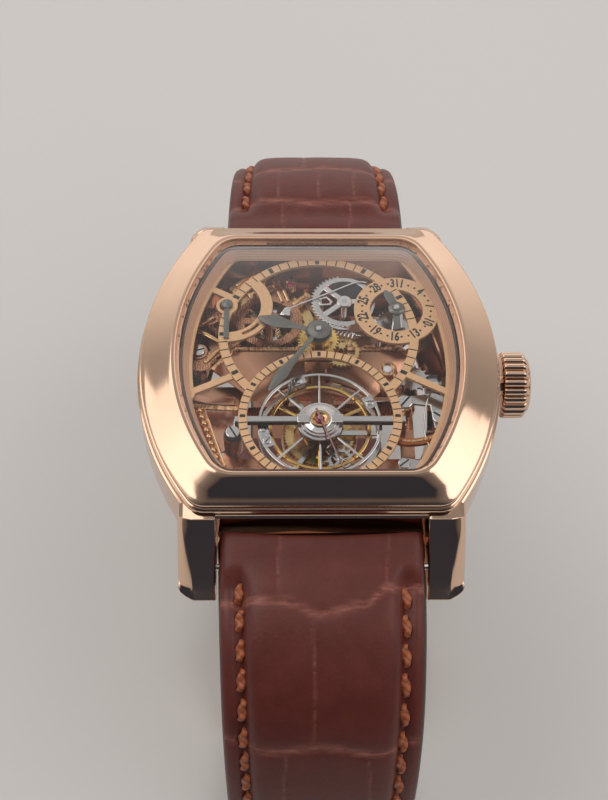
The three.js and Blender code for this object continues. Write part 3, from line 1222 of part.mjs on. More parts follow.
function keeper(length) {
  const outerHalf = HALF_BUCKLE + 0.5 + KEEPER_WALL;
  const top = INNER_LAYER_Z + INNER_SIDE + KEEPER_GAP;
  const body = block(outerHalf * 2, length, FLOOR_Z, top + KEEPER_WALL);
  return body.subtract(block(HALF_BUCKLE * 2 + 1.0, length + 2, FLOOR_Z + KEEPER_WALL, top));
}

const FRAME_INNER = HALF_BUCKLE + 0.75;
const FRAME_SIDE = 1.3;
const FRONT_BAR_Y = -18.2;

function sideProfile(points, x, width) {
  return extrude(polygon(points), 0, width).rotate([90, 0, 90]).translate([x, 0, 0]);
}

function buckleFrame() {
  const arm = [
    [BUCKLE_BAR_Y + 1.6, INNER_LAYER_Z + 1.2], [BUCKLE_BAR_Y + 0.9, INNER_LAYER_Z + 1.6],
    [BUCKLE_BAR_Y - 1.2, INNER_LAYER_Z + 1.5], [FRONT_BAR_Y - 1.2, FLOOR_Z + 2.2],
    [FRONT_BAR_Y - 1.3, FLOOR_Z], [FRONT_BAR_Y + 1.1, FLOOR_Z], [BUCKLE_BAR_Y + 1.6, INNER_LAYER_Z - 1.8],
  ].reverse();
  const arms = [-FRAME_INNER - FRAME_SIDE, FRAME_INNER].map((x) => sideProfile(arm, x, FRAME_SIDE));
  const reach = FRAME_INNER + FRAME_SIDE;
  const front = block(reach * 2, 2.4, FLOOR_Z, FLOOR_Z + KEEPER_WALL, 0, FRONT_BAR_Y - 0.1);
  const notch = block(1.8, 4, FLOOR_Z - 1, FLOOR_Z + 0.95, 0, FRONT_BAR_Y);
  const bar = crossBar(BAR_RADIUS + 0.1, BUCKLE_BAR_Y, INNER_LAYER_Z);
  return cut(join(front, ...arms), notch, bar);
}

function tang() {
  const profile = [
    [1.3, -0.5], [0.2, -1.35], [-1.6, -1.35], [-4.2, -4.3], [-9.9, -4.85], [-10.0, -4.3], [-4.5, -3.75],
    [-2.0, -0.6], [-1.3, 0.7], [0, 1.35], [1.2, 0.7],
  ];
  const body = sideProfile(profile, -0.6, 1.2);
  const area = body.volume() < 0 ? sideProfile(profile.slice().reverse(), -0.6, 1.2) : body;
  return area.subtract(disc(BAR_RADIUS + 0.12, -5, 5, 0, 0, 12).rotate([0, 90, 0]));
}

// Assembly

const watch = new THREE.Group();

const housing = new THREE.Group();
housing.add(
  mesh('case_middle', caseMiddle(), 'gold'),
  mesh('bezel', bezel(), 'gold'),
  mesh('flange_ring', flange(), 'gold'),
  mesh('crystal_gasket', gasket(), 'gasket'),
  mesh('crystal', crystal(), 'glass'),
  mesh('caseback_frame', casebackFrame(), 'gold'),
  mesh('caseback_glass', casebackGlass(), 'glass'),
  ...[0, 1, 2, 3].map(casebackScrew),
  mesh('crown_tube', crownTube(), 'steel', CAVITY_HALF_WIDTH + 0.1, 0, CROWN_HEIGHT),
  mesh('crown', crown(), 'gold', CROWN_START, 0, CROWN_HEIGHT),
  mesh('winding_stem', stem(), 'steel', STEM_INNER_END, 0, CROWN_HEIGHT),
);

const display = new THREE.Group();
display.add(
  mesh('dial', dial(), 'dial'),
  mesh('hour_hand', hourHand(), 'hand', 0, HANDS_Y, HOUR_HAND_Z),
  mesh('hour_wheel', hourWheel(), 'brass', 0, HANDS_Y, HOUR_HAND_Z),
  mesh('minute_hand', minuteHand(), 'hand', 0, HANDS_Y, MINUTE_HAND_Z),
  mesh('minute_wheel', minuteWheel(), 'brass', MINUTE_WHEEL_X, MINUTE_WHEEL_Y, MINUTE_WHEEL_Z),
  mesh('power_reserve_hand', reserveHand(), 'hand', RESERVE_X, RESERVE_Y, SMALL_HAND_Z),
  mesh('date_hand', dateHand(), 'hand', DATE_X, DATE_Y, SMALL_HAND_Z),
  mesh('date_star', dateStar(), 'steel', DATE_X, DATE_Y, SMALL_HAND_Z),
  mesh('calendar_wheel', calendarWheel(), 'steel', ...CALENDAR_PLACE),
  mesh('calendar_rack', calendarRack(), 'steel', ...RACK_PIVOT),
  mesh('jumper_spring', jumperSpring(), 'steel'),
);

const movement = new THREE.Group();
movement.add(
  mesh('main_plate', mainPlate(), 'plate'),
  mesh('movement_ring', movementRing(), 'gold'),
  mesh('train_bridge', backTrainBridge(), 'plate'),
  mesh('carriage_back_bridge', carriageBackBridge(), 'plate'),
  mesh('barrel_bridge', barrelBridge(), 'plate'),
  mesh('barrel_drum', barrelDrum().rotate([0, 0, degrees(BARREL_PHASE)]), 'brass', BARREL_X, BARREL_Y),
  mesh('barrel_arbor', barrelArbor(), 'steel', BARREL_X, BARREL_Y),
  mesh('ratchet_wheel', ratchetWheel(), 'steel', BARREL_X, BARREL_Y),
  mesh('mainspring', mainspring(), 'steel', BARREL_X, BARREL_Y),
  mesh('centre_wheel', centreWheel(), 'brass', 0, HANDS_Y),
  mesh('third_wheel', thirdWheel(), 'brass', THIRD_X, THIRD_Y),
  mesh('crown_wheel', crownWheel(), 'steel', CROWN_WHEEL_X, 0, CROWN_WHEEL_Z),
  mesh('setting_lever', settingLever(), 'steel', GROOVE_X, 0),
  mesh('click', click(), 'steel', ...CLICK_PLACE, RATCHET_Z),
);

const tourbillon = new THREE.Group();
tourbillon.position.set(0, TOURBILLON_Y, 0);
const fork = palletFork().rotate([0, 0, degrees(ESCAPE_DIRECTION)]);
tourbillon.add(
  mesh('fixed_wheel', fixedWheel(), 'brass'),
  mesh('carriage_lower', carriageLower(), 'steel'),
  mesh('carriage_upper', carriageUpper(), 'steel'),
  mesh('escape_wheel', escapeWheel(), 'steel', ...polar(ESCAPE_DISTANCE, ESCAPE_DIRECTION)),
  mesh('pallet_fork', fork, 'steel', ...polar(PALLET_REACH, ESCAPE_DIRECTION)),
  mesh('balance_wheel', balanceWheel(), 'brass'),
  mesh('hairspring', hairspring(), 'steel'),
  mesh('seconds_hand', secondsHand(), 'gold', 0, 0, SECONDS_HAND_Z),
  mesh('tourbillon_bridge', tourbillonBridge(), 'steel'),
  mesh('bridge_chaton', chaton(), 'gold'),
  mesh('bridge_jewel', bridgeJewel(), 'ruby'),
);

const strap = new THREE.Group();
strap.add(
  mesh('spring_bar_upper', springBar(LUG_INNER * 2 - 0.1, BAR_RADIUS), 'steel', 0, BAR_REACH, BAR_HEIGHT),
  mesh('spring_bar_lower', springBar(LUG_INNER * 2 - 0.1, BAR_RADIUS), 'steel', 0, -BAR_REACH, BAR_HEIGHT),
  mesh('strap_upper', strapUpper(), 'leather'),
  mesh('strap_lower', strapLower(), 'leather'),
  mesh('fixed_keeper', keeper(KEEPER_LENGTH), 'leather', 0, FIXED_KEEPER_Y),
  mesh('free_keeper', keeper(KEEPER_LENGTH), 'leather', 0, FREE_KEEPER_Y),
  mesh('buckle_frame', buckleFrame(), 'gold'),
  mesh('buckle_bar', springBar(HALF_BUCKLE * 2 + 1.2, BAR_RADIUS), 'steel', 0, BUCKLE_BAR_Y, INNER_LAYER_Z),
  mesh('buckle_tang', tang(), 'gold', 0, BUCKLE_BAR_Y, INNER_LAYER_Z),
);

watch.add(housing, display, movement, tourbillon, strap);

export default watch;
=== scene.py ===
"""Skeleton wristwatch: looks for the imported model. Metres, in the row frame."""
import math
import random

import bmesh
import bpy
from mathutils import Matrix, Vector


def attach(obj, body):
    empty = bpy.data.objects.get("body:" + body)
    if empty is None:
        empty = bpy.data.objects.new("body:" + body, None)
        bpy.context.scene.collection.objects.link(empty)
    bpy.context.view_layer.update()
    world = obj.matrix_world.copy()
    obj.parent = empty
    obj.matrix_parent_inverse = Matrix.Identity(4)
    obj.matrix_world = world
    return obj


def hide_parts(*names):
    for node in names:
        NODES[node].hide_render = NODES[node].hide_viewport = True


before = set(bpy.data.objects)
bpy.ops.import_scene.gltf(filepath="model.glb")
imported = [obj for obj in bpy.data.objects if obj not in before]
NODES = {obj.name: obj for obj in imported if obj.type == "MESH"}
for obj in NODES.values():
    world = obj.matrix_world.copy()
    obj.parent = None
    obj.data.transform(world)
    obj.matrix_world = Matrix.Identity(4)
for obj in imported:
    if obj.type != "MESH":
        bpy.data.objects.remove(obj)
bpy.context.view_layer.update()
MM = 0.001

# Sizes repeated from the part's source, in millimetres
SIDE_CENTRE = 11.5
CASE_HALF = (18.75, 18.3)
BEZEL_HALF = (18.45, 18.05)
CRYSTAL_HALF = (14.6, 14.85)
FLANGE_HALF = (14.25, 14.5)
CASE_TOP = 8.9
BEZEL_TOP = 11.2
CRYSTAL_UNDERSIDE = 10.5
CRYSTAL_TOP = 11.75
DIAL_TOP = 9.0
HANDS = (0.0, 3.5)
TOURBILLON = (0.0, -6.94)
DATE = (8.3, 6.75)
RESERVE = (-9.65, 7.35)
FLOOR_Z = -40.6
RIM_CORNER = 1.7


# Camera
CAMERA_PLACE = (-0.00417, -0.08921, 0.12610)
CAMERA_TURNS = ((0.6234, "X"), (-0.0177, "Y"), (-0.0005, "Z"))


def make_camera():
    data = bpy.data.cameras.new("camera")
    data.lens = 64.25
    data.sensor_width = 36
    data.clip_start = 0.005
    camera = bpy.data.objects.new("camera", data)
    turn = Matrix.Identity(4)
    for angle, axis in CAMERA_TURNS:
        turn = turn @ Matrix.Rotation(angle, 4, axis)
    camera.matrix_world = Matrix.Translation(CAMERA_PLACE) @ turn
    bpy.context.scene.collection.objects.link(camera)
    bpy.context.scene.camera = camera


make_camera()


# Materials
class Paint:
    """Builds one node material round a Principled shader."""

    def __init__(self, name, colour, rough, metal=0.0, **sockets):
        self.material = bpy.data.materials.new(name)
        self.material.use_nodes = True
        self.tree = self.material.node_tree
        self.shader = self.tree.nodes["Principled BSDF"]
        self.set("Base Color", (*colour, 1.0))
        self.set("Roughness", rough)
        self.set("Metallic", metal)
        for socket, value in sockets.items():
            self.set(socket.replace("_", " "), value)
        self.place = None

    def set(self, socket, value):
        self.shader.inputs[socket].default_value = value

    def node(self, kind, **inputs):
        made = self.tree.nodes.new(kind)
        for key, value in inputs.items():
            made.inputs[key.replace("_", " ")].default_value = value
        return made

    def placed(self, kind, **inputs):
        """A texture node that reads places on the object."""
        made = self.node(kind, **inputs)
        self.link(self.where(), made.inputs["Vector"])
        return made

    def times_plus(self, source, factor, extra):
        made = self.tree.nodes.new("ShaderNodeMath")
        made.operation = "MULTIPLY_ADD"
        self.link(source, made.inputs[0])
        made.inputs[1].default_value = factor
        self.link(extra, made.inputs[2])
        return made.outputs["Value"]

    def link(self, out, into):
        self.tree.links.new(out, into)

    def where(self):
        if self.place is None:
            self.place = self.tree.nodes.new("ShaderNodeTexCoord").outputs["Object"]
        return self.place

    def noise(self, scale, detail=4.0, rough=0.55, stretch=None):
        made = self.node("ShaderNodeTexNoise", Scale=scale, Detail=detail, Roughness=rough)
        if stretch is None:
            self.link(self.where(), made.inputs["Vector"])
        else:
            mapping = self.node("ShaderNodeMapping", Scale=stretch)
            self.link(self.where(), mapping.inputs["Vector"])
            self.link(mapping.outputs["Vector"], made.inputs["Vector"])
        return made.outputs["Fac"]

    def ramp(self, source, low, high, at=(0.35, 0.65)):
        made = self.tree.nodes.new("ShaderNodeValToRGB")
        made.color_ramp.elements[0].position = at[0]
        made.color_ramp.elements[1].position = at[1]
        made.color_ramp.elements[0].color = (*low, 1.0)
        made.color_ramp.elements[1].color = (*high, 1.0)
        self.link(source, made.inputs["Fac"])
        return made.outputs["Color"]

    def spread(self, source, low, high):
        made = self.tree.nodes.new("ShaderNodeMapRange")
        made.inputs["To Min"].default_value = low
        made.inputs["To Max"].default_value = high
        self.link(source, made.inputs["Value"])
        return made.outputs["Result"]

    def bump(self, source, strength, distance):
        made = self.node("ShaderNodeBump", Strength=strength, Distance=distance)
        self.link(source, made.inputs["Height"])
        self.link(made.outputs["Normal"], self.shader.inputs["Normal"])

    def colour_from(self, socket):
        self.link(socket, self.shader.inputs["Base Color"])

    def rough_from(self, socket):
        self.link(socket, self.shader.inputs["Roughness"])


MATERIAL = {}


def stock(recipe, **kinds):
    """Fills the table of materials: one recipe, and what each name hands it."""
    for name, values in kinds.items():
        MATERIAL[name] = recipe(name, *values)


def shades(colour, share):
    return tuple(c * share for c in colour)


def polished(name, colour, rough, wear):
    """Mirror-like metal with faint hairlines and a slightly uneven polish."""
    paint = Paint(name, colour, rough, 1.0)
    paint.rough_from(paint.spread(paint.noise(900.0, 3.0), rough, rough + wear))
    paint.colour_from(paint.ramp(paint.noise(180.0, 2.0), shades(colour, 0.95), colour))
    paint.bump(paint.noise(2500.0, 2.0, stretch=(1.0, 0.12, 1.0)), 0.04, 0.00002)
    return paint.material


def brushed(name, colour, rough):
    """Metal with a straight fine grain."""
    paint = Paint(name, colour, rough, 1.0)
    grain = paint.noise(6000.0, 2.0, stretch=(1.0, 0.04, 1.0))
    paint.rough_from(paint.spread(grain, rough * 0.8, rough * 1.25))
    paint.colour_from(paint.ramp(grain, shades(colour, 0.82), colour, (0.3, 0.6)))
    paint.bump(grain, 0.25, 0.00003)
    return paint.material


def lined(name, colour, lines):
    """Half-matt metal with fine turned lines one above the other."""
    paint = Paint(name, colour, 0.42, 0.25)
    wave = paint.placed("ShaderNodeTexWave", Scale=lines, Distortion=0.6)
    wave.bands_direction = "Z"
    paint.colour_from(paint.ramp(wave.outputs["Fac"], shades(colour, 0.8), colour, (0.05, 0.45)))
    return paint.material


def engraved(name, colour, dark, rough, cuts):
    """Hand-engraved gilt: curling cuts, a matt ground between and polished crests; the colour is darker where
    the relief is low, painted shade in the cuts and ground.
    """
    paint = Paint(name, colour, rough, 1.0)
    wave = paint.placed("ShaderNodeTexWave", Scale=cuts, Distortion=7.0, Detail=2.0, Detail_Scale=1.6)
    cells = paint.placed("ShaderNodeTexVoronoi", Scale=900.0)
    relief = paint.times_plus(cells.outputs["Distance"], 0.5, wave.outputs["Fac"])
    # Painted shade: the low cuts and ground take the dark colour.
    paint.colour_from(paint.ramp(relief, dark, colour, (0.12, 0.55)))
    paint.rough_from(paint.spread(relief, rough + 0.12, rough - 0.04))
    paint.bump(relief, 0.22, 0.00004)
    return paint.material


def satin(name, colour, rough, metal, grain=3200.0, depth=0.00002):
    """Even half-matt surface with a fine grain."""
    paint = Paint(name, colour, rough, metal)
    fine = paint.noise(grain, 3.0)
    paint.colour_from(paint.ramp(fine, shades(colour, 0.9), colour))
    paint.rough_from(paint.spread(fine, rough * 0.85, rough * 1.15))
    paint.bump(fine, 0.2, depth)
    return paint.material


def clear(name, tint, strength):
    """Thin clear glass: seen through face on, mirror-like at a glancing angle."""
    paint = Paint(name, tint, 0.02, 1.0)
    facing = paint.node("ShaderNodeFresnel", IOR=1.5)
    paint.link(paint.spread(facing.outputs["Fac"], 0.0, strength), paint.shader.inputs["Alpha"])
    return paint.material


def stone(name, colour, rough, coat_rough):
    return Paint(name, colour, rough, 0.0, Coat_Weight=1.0, Coat_Roughness=coat_rough).material


ROSE = (0.80, 0.55, 0.40)
stock(
    polished,
    rose_gold=(ROSE, 0.07, 0.05),
    gold_bar=((0.90, 0.56, 0.28), 0.12, 0.08),
    steel=((0.74, 0.73, 0.72), 0.14, 0.08),
    steel_bright=((0.86, 0.85, 0.84), 0.08, 0.04),
    copper_brown=((0.62, 0.33, 0.21), 0.2, 0.08),
    copper_bright=((0.88, 0.34, 0.10), 0.14, 0.08),
    balance_gold=((0.88, 0.57, 0.19), 0.14, 0.06),
)
stock(
    satin,
    rose_satin=(ROSE, 0.2, 1.0, 4000.0, 0.000003),
    dial_gold=((0.82, 0.51, 0.28), 0.42, 0.45, 5000.0, 0.00001),
    # Painted reflection: dark steel for polished faces that mirror a dark room.
    steel_dark=((0.16, 0.16, 0.17), 0.32, 0.9),
    hand_grey=((0.20, 0.20, 0.185), 0.34, 0.75),
    ink=((0.012, 0.018, 0.014), 0.5, 0.0),
    gasket=((0.10, 0.06, 0.05), 0.6, 0.0),
    # Painted shade and painted reflection: near-black for screw slots, the ring under the foot screw's head
    # and the calendar wheel's web.
    slot_dark=((0.03, 0.03, 0.032), 0.5, 0.4),
    brass_bright=((0.95, 0.64, 0.20), 0.34, 0.65),
    spring_blue=((0.06, 0.07, 0.12), 0.25, 1.0),
    bronze_rose=((0.42, 0.22, 0.20), 0.3, 0.8),
    leather_edge=((0.035, 0.012, 0.011), 0.4, 0.0),
    lining=((0.30, 0.13, 0.07), 0.6, 0.0, 1800.0, 0.00006),
)
stock(
    engraved,
    bridge_gold=((0.88, 0.54, 0.30), (0.34, 0.14, 0.06), 0.3, 420.0),
    bridge_brown=((0.56, 0.29, 0.17), (0.30, 0.13, 0.08), 0.22, 1100.0),
)
stock(stone, stone_clear=((0.75, 0.73, 0.78), 0.05, 0.02), ruby=((0.36, 0.012, 0.07), 0.06, 0.03))
stock(lined, flange_lined=((0.92, 0.59, 0.41), 1300.0))
stock(brushed, brass=((0.83, 0.60, 0.27), 0.24))
stock(clear, glass=((0.97, 0.93, 0.92), 0.42))


# Building helpers
def show(name, mesh, body):
    """Puts a mesh in the scene. A body of None is for a piece that is joined to others later."""
    made = bpy.data.objects.new(name, mesh)
    bpy.context.scene.collection.objects.link(made)
    if body is not None:
        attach(made, body)
    return made


def finish_mesh(name, points, faces, material, body="watch", angle=35.0):
    """A mesh object from points in millimetres, smooth except at edges sharper than angle."""
    mesh = bpy.data.meshes.new(name)
    mesh.from_pydata([(x * MM, y * MM, z * MM) for x, y, z in points], [], faces)
    tool = bmesh.new()
    tool.from_mesh(mesh)
    bmesh.ops.recalc_face_normals(tool, faces=tool.faces)
    tool.to_mesh(mesh)
    tool.free()
    mesh.materials.append(MATERIAL[material])
    mesh.shade_smooth()
    mesh.set_sharp_from_angle(angle=math.radians(angle))
    return show(name, mesh, body)


def stand_in(node, slot, *pieces):
    """The pieces take a CAD node's place: the node is hidden. The slot argument is not used."""
    for piece in pieces:
        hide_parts(node)


def soften(obj, width, segments=2):
    """Rounds an object's sharp edges; width in millimetres."""
    modifier = obj.modifiers.new("bevel", "BEVEL")
    modifier.width = width * MM
    modifier.segments = segments
    modifier.limit_method = "ANGLE"
    modifier.angle_limit = math.radians(30)
    modifier.harden_normals = False


def strip(rings, closed=False):
    """Points and faces of a skin over rings with equal counts: closed on itself, or with end caps."""
    count = len(rings[0])
    faces = []
    for layer in range(len(rings) if closed else len(rings) - 1):
        low, high = layer * count, (layer + 1) % len(rings) * count
        for step in range(count):
            after = (step + 1) % count
            faces.append((low + step, low + after, high + after, high + step))
    if not closed:
        faces.append(tuple(range(count - 1, -1, -1)))
        faces.append(tuple(range((len(rings) - 1) * count, len(rings) * count)))
    return [p for ring in rings for p in ring], faces


def tonneau(half, z, corner=1.1):
    """The case outline: two bowed sides and straight ends, its corners rounded off."""
    steps, turns, across = 44, 9, 6
    radius = half[0] + SIDE_CENTRE
    reach = math.asin(half[1] / radius)
    corner_x = radius * math.cos(reach) - SIDE_CENTRE
    short = reach - corner / radius
    right = [
        (radius * math.cos(a) - SIDE_CENTRE, radius * math.sin(a))
        for a in (short * (2 * i / steps - 1) for i in range(steps + 1))
    ]
    start, tip, end = Vector(right[-1]), Vector((corner_x, half[1])), Vector((corner_x - corner, half[1]))
    shares = [k / turns for k in range(1, turns)]
    turn = [tuple(start * (1 - t) ** 2 + tip * 2 * t * (1 - t) + end * t * t) for t in shares]
    top = [(end.x * (1 - 2 * i / across), half[1]) for i in range(across + 1)]
    upper = right + turn + top + [(-x, y) for x, y in reversed(turn)]
    lower = [(-x, -y) for x, y in right + turn + top] + [(x, -y) for x, y in reversed(turn)]
    return [(x, y, z) for x, y in upper + lower]


def turned(name, profile, centre, material, body="watch", segments=48, axis="Z", angle=35.0, closed=False):
    """A turned piece: profile is (radius, height) from the bottom up, heights from centre."""
    rings = []
    for radius, height in profile:
        ring = []
        for step in range(segments):
            turn = 2 * math.pi * step / segments
            u, v = radius * math.cos(turn), radius * math.sin(turn)
            ring.append((height, u, v) if axis == "X" else (u, v, height))
        rings.append([tuple(a + b for a, b in zip(p, centre)) for p in ring])
    return finish_mesh(name, *strip(rings, closed), material, body, angle)


def lathe(name, profile, centre, material, body="watch", segments=64, angle=25.0):
    """A turned ring: profile is a closed loop of (radius, height)."""
    return turned(name, profile, centre, material, body, segments, angle=angle, closed=True)


def baked(curve, material):
    """The mesh that a curve or a text makes."""
    holder = bpy.data.objects.new(curve.name, curve)
    mesh = bpy.data.meshes.new_from_object(holder)
    bpy.data.objects.remove(holder)
    mesh.materials.clear()
    mesh.materials.append(MATERIAL[material])
    return mesh


def plate(name, outline, bottom, top, material, body="watch", holes=(), bevel=0.05, place=(0, 0), turn=0.0):
    """A flat piece with a rounded rim, cut from an outline with holes."""
    curve = bpy.data.curves.new(name, "CURVE")
    curve.dimensions = "2D"
    curve.fill_mode = "BOTH"
    for loop in (outline, *holes):
        spline = curve.splines.new("POLY")
        spline.points.add(len(loop) - 1)
        for point, (x, y) in zip(spline.points, loop):
            point.co = (x * MM, y * MM, 0, 1)
        spline.use_cyclic_u = True
    height = (top - bottom) * MM / 2
    curve.bevel_depth = min(bevel * MM, height * 0.95)
    curve.bevel_resolution = 1
    curve.offset = -curve.bevel_depth
    curve.extrude = height - curve.bevel_depth
    mesh = baked(curve, material)
    middle = (place[0] * MM, place[1] * MM, (bottom + top) * MM / 2)
    mesh.transform(Matrix.Translation(middle) @ Matrix.Rotation(turn, 4, "Z"))
    mesh.shade_smooth()
    mesh.set_sharp_from_angle(angle=math.radians(40))
    return show(name, mesh, body)


def circle(radius, count=64, start=0.0, end=2 * math.pi):
    closed = abs(end - start - 2 * math.pi) < 1e-6
    angles = [start + (end - start) * i / count for i in range(count if closed else count + 1)]
    return [(radius * math.cos(a), radius * math.sin(a)) for a in angles]


def sector(outer, inner, start, end, count=24):
    return circle(outer, count, start, end) + circle(inner, count, start, end)[::-1]


def oblong(half_x, half_y):
    return [(-half_x, -half_y), (half_x, -half_y), (half_x, half_y), (-half_x, half_y)]


def bar(start, end, width):
    """Outline of a straight bar between two points."""
    along = Vector((end[0] - start[0], end[1] - start[1])).normalized()
    side = Vector((-along.y, along.x)) * width / 2
    a, b = Vector(start), Vector(end)
    return [tuple(a - side), tuple(b - side), tuple(b + side), tuple(a + side)]


def polar(radius, angle, centre=(0.0, 0.0)):
    return (centre[0] + radius * math.cos(angle), centre[1] + radius * math.sin(angle))


def tube(name, route, radius, material, body="watch", sides=10):
    """A round wire along a smooth route, in millimetres."""
    curve = bpy.data.curves.new(name, "CURVE")
    curve.dimensions = "3D"
    spline = curve.splines.new("NURBS")
    spline.points.add(len(route) - 1)
    for point, place in zip(spline.points, route):
        point.co = (*(c * MM for c in place), 1)
    spline.use_endpoint_u = True
    spline.order_u = 4 if len(route) > 3 else 3
    spline.resolution_u = 4
    curve.bevel_depth = radius * MM
    curve.bevel_resolution = max(1, sides // 4 - 1)
    curve.use_fill_caps = True
    mesh = baked(curve, material)
    mesh.shade_smooth()
    return show(name, mesh, body)


def joined(name, pieces, body="watch"):
    """Several built meshes as one object, each keeping its own material."""
    tool = bmesh.new()
    mesh = bpy.data.meshes.new(name)
    for piece in pieces:
        slot_of = []
        for material in piece.data.materials:
            if material.name not in mesh.materials:
                mesh.materials.append(material)
            slot_of.append(mesh.materials.find(material.name))
        first = len(tool.faces)
        tool.from_mesh(piece.data)
        tool.faces.ensure_lookup_table()
        for face in tool.faces[first:]:
            face.material_index = slot_of[face.material_index]
        bpy.data.objects.remove(piece)
    tool.to_mesh(mesh)
    tool.free()
    return show(name, mesh, body)


def curve_points(points, per_span=8):
    """Points of a smooth curve through the given ones."""
    places = [Vector(p) for p in points]
    places = [2 * places[0] - places[1], *places, 2 * places[-1] - places[-2]]
    out = []
    for i in range(1, len(places) - 2):
        p0, p1, p2, p3 = places[i - 1:i + 3]
        for t in (k / per_span for k in range(per_span)):
            out.append(0.5 * (
                2 * p1 + (p2 - p0) * t + (2 * p0 - 5 * p1 + 4 * p2 - p3) * t * t
                + (3 * p1 - p0 - 3 * p2 + p3) * t ** 3
            ))
    out.append(places[-2])
    return [tuple(p) for p in out]


def dress(names, material, bevel=0.0, segments=2, edge=None):
    """CAD nodes that stay get their material and, where they are cut metal, broken edges."""
    for name in names.split():
        obj = NODES[name]
        obj.data.materials.clear()
        obj.data.materials.append(MATERIAL[material])
        if bevel > 0:
            soften(obj, bevel, segments)
        if edge is not None:
            obj.data.materials.append(MATERIAL[edge])
            obj.modifiers["bevel"].material = 1


SIDES = ((-1, "left"), (1, "right"))


# Case
def levels(half, rows, corner=1.1):
    """Rings of the case outline: half sizes less an amount, each at its height."""
    return [tonneau((half[0] - amount, half[1] - amount), z, corner) for amount, z in rows]


def make_bezel():
    low_edge = (
        (0.3, 0.0), (0.04, 0.03), (0.0, 0.1), (0.0, 0.22), (0.05, 0.31), (0.16, 0.36), (0.3, 0.37),
        (0.32, 0.41), (0.22, 0.46), (0.17, 0.56), (0.21, 0.68), (0.35, 0.78), (0.6, 0.88),
    )
    rings = levels(BEZEL_HALF, [(amount, CASE_TOP + rise) for amount, rise in low_edge])
    rings.append(tonneau((BEZEL_HALF[0] - 1.5, BEZEL_HALF[1] - 1.5), CASE_TOP + 1.37, 1.3))
    rings += [tonneau(half, z, RIM_CORNER) for half, z in (
        ((15.5, 15.74), BEZEL_TOP - 0.2), ((15.22, 15.46), BEZEL_TOP - 0.05), ((15.1, 15.34), BEZEL_TOP),
        ((14.82, 15.06), BEZEL_TOP), ((14.7, 14.94), BEZEL_TOP - 0.06), ((14.7, 14.94), CRYSTAL_UNDERSIDE),
        ((14.34, 14.59), CRYSTAL_UNDERSIDE), ((14.34, 14.59), CASE_TOP),
    )]
    made = finish_mesh("bezel_polished", *strip(rings, True), "rose_gold", angle=18.0)
    count = len(rings[0])
    for index, material, first, last in ((1, "flange_lined", 17, 20), (2, "rose_satin", 7, 11)):
        made.data.materials.append(MATERIAL[material])
        for face in made.data.polygons[first * count:last * count]:
            face.material_index = index
    stand_in("bezel", "rose_gold", made)


def make_case_middle():
    cavity = (15.2, 15.4)
    bottom = 1.4
    rings = levels(CASE_HALF, (
        (1.2, bottom), (0.3, 2.85), (0.12, 3.1), (0.02, 4.6), (0.0, 7.3), (0.0, 7.95), (0.05, 8.03),
        (0.22, 8.12), (0.26, 8.2), (0.26, 8.55), (0.32, 8.7), (0.5, 8.8), (0.9, CASE_TOP),
    ))
    rings += [tonneau(cavity, CASE_TOP), tonneau(cavity, bottom)]
    pieces = [finish_mesh("case_body", *strip(rings, True), "rose_gold", angle=18.0)]
    front = curve_points([(18.7, 8.45), (20.1, 7.3), (21.6, 5.65), (22.95, 3.85), (24.05, 2.1)], 6)
    outline = [(15.4, 8.6), *front, (23.75, 1.55), (23.3, 1.5), (20.8, 2.1), (15.4, 1.75)]
    sections = (
        (10.25, 0.15), (10.36, 0.03), (10.5, 0.0), (12.4, 0.0), (12.6, 0.06), (13.3, 0.45), (13.75, 0.85),
        (13.95, 1.3),
    )

    def shrunk(y, z, amount):
        """A point of the lug's outline drawn in: square to its front, and to its middle elsewhere."""
        share = min(max((z - 2.1) / 1.8, 0.0), 1.0) if y > 18.6 else 0.0
        inward = Vector((19.8 - y, 5.0 - z)).normalized()
        pull = inward.lerp(Vector((-0.75, -0.66)), share).normalized() * amount
        return y + pull.x, z + pull.y

    for side, hand in SIDES:
        for end in (-1, 1):
            rings = []
            for x, amount in sections:
                places = [shrunk(y, z, amount) for y, z in outline]
                rings.append([(side * x, end * y, z) for y, z in places])
            lug = finish_mesh(f"lug_{hand}_{end % 3}", *strip(rings), "rose_gold", angle=28.0)
            soften(lug, 0.07)
            pieces.append(lug)
    stand_in("case_middle", "rose_gold", *pieces)


def make_flange():
    top = CRYSTAL_UNDERSIDE - 0.38
    wall = [(FLANGE_HALF, DIAL_TOP), (FLANGE_HALF, top), ((14.0, 14.25), top)]
    wall += [((13.42, 13.62), DIAL_TOP + 0.1), ((13.4, 13.6), DIAL_TOP)]
    inner, outer = (13.98, 14.23), (14.2, 14.45)
    seal = [(inner, top), (outer, top), (outer, top + 0.3), (inner, top + 0.3)]
    rings = [tonneau(half, z) for half, z in wall]
    made = finish_mesh("flange_polished", *strip(rings, True), "flange_lined", angle=20.0)
    stand_in("flange_ring", "rose_gold", made)
    rings = [tonneau(half, z) for half, z in seal]
    stand_in("crystal_gasket", "gasket", finish_mesh("crystal_seal", *strip(rings, True), "gasket"))


def make_crystal():
    edge = BEZEL_TOP + 0.06
    rows = [(0.25, CRYSTAL_UNDERSIDE), (0.0, CRYSTAL_UNDERSIDE), (0.0, BEZEL_TOP - 0.05), (0.1, edge)]
    steps = 9
    for part in range(1, steps):
        rest = 1 - part / steps
        rows.append((0.1 + 12.6 * part / steps, CRYSTAL_TOP - (CRYSTAL_TOP - BEZEL_TOP - 0.06) * rest ** 2.2))
    made = finish_mesh("crystal_domed", *strip(levels(CRYSTAL_HALF, rows, RIM_CORNER)), "glass", angle=25.0)
    stand_in("crystal", "clear_glass", made)


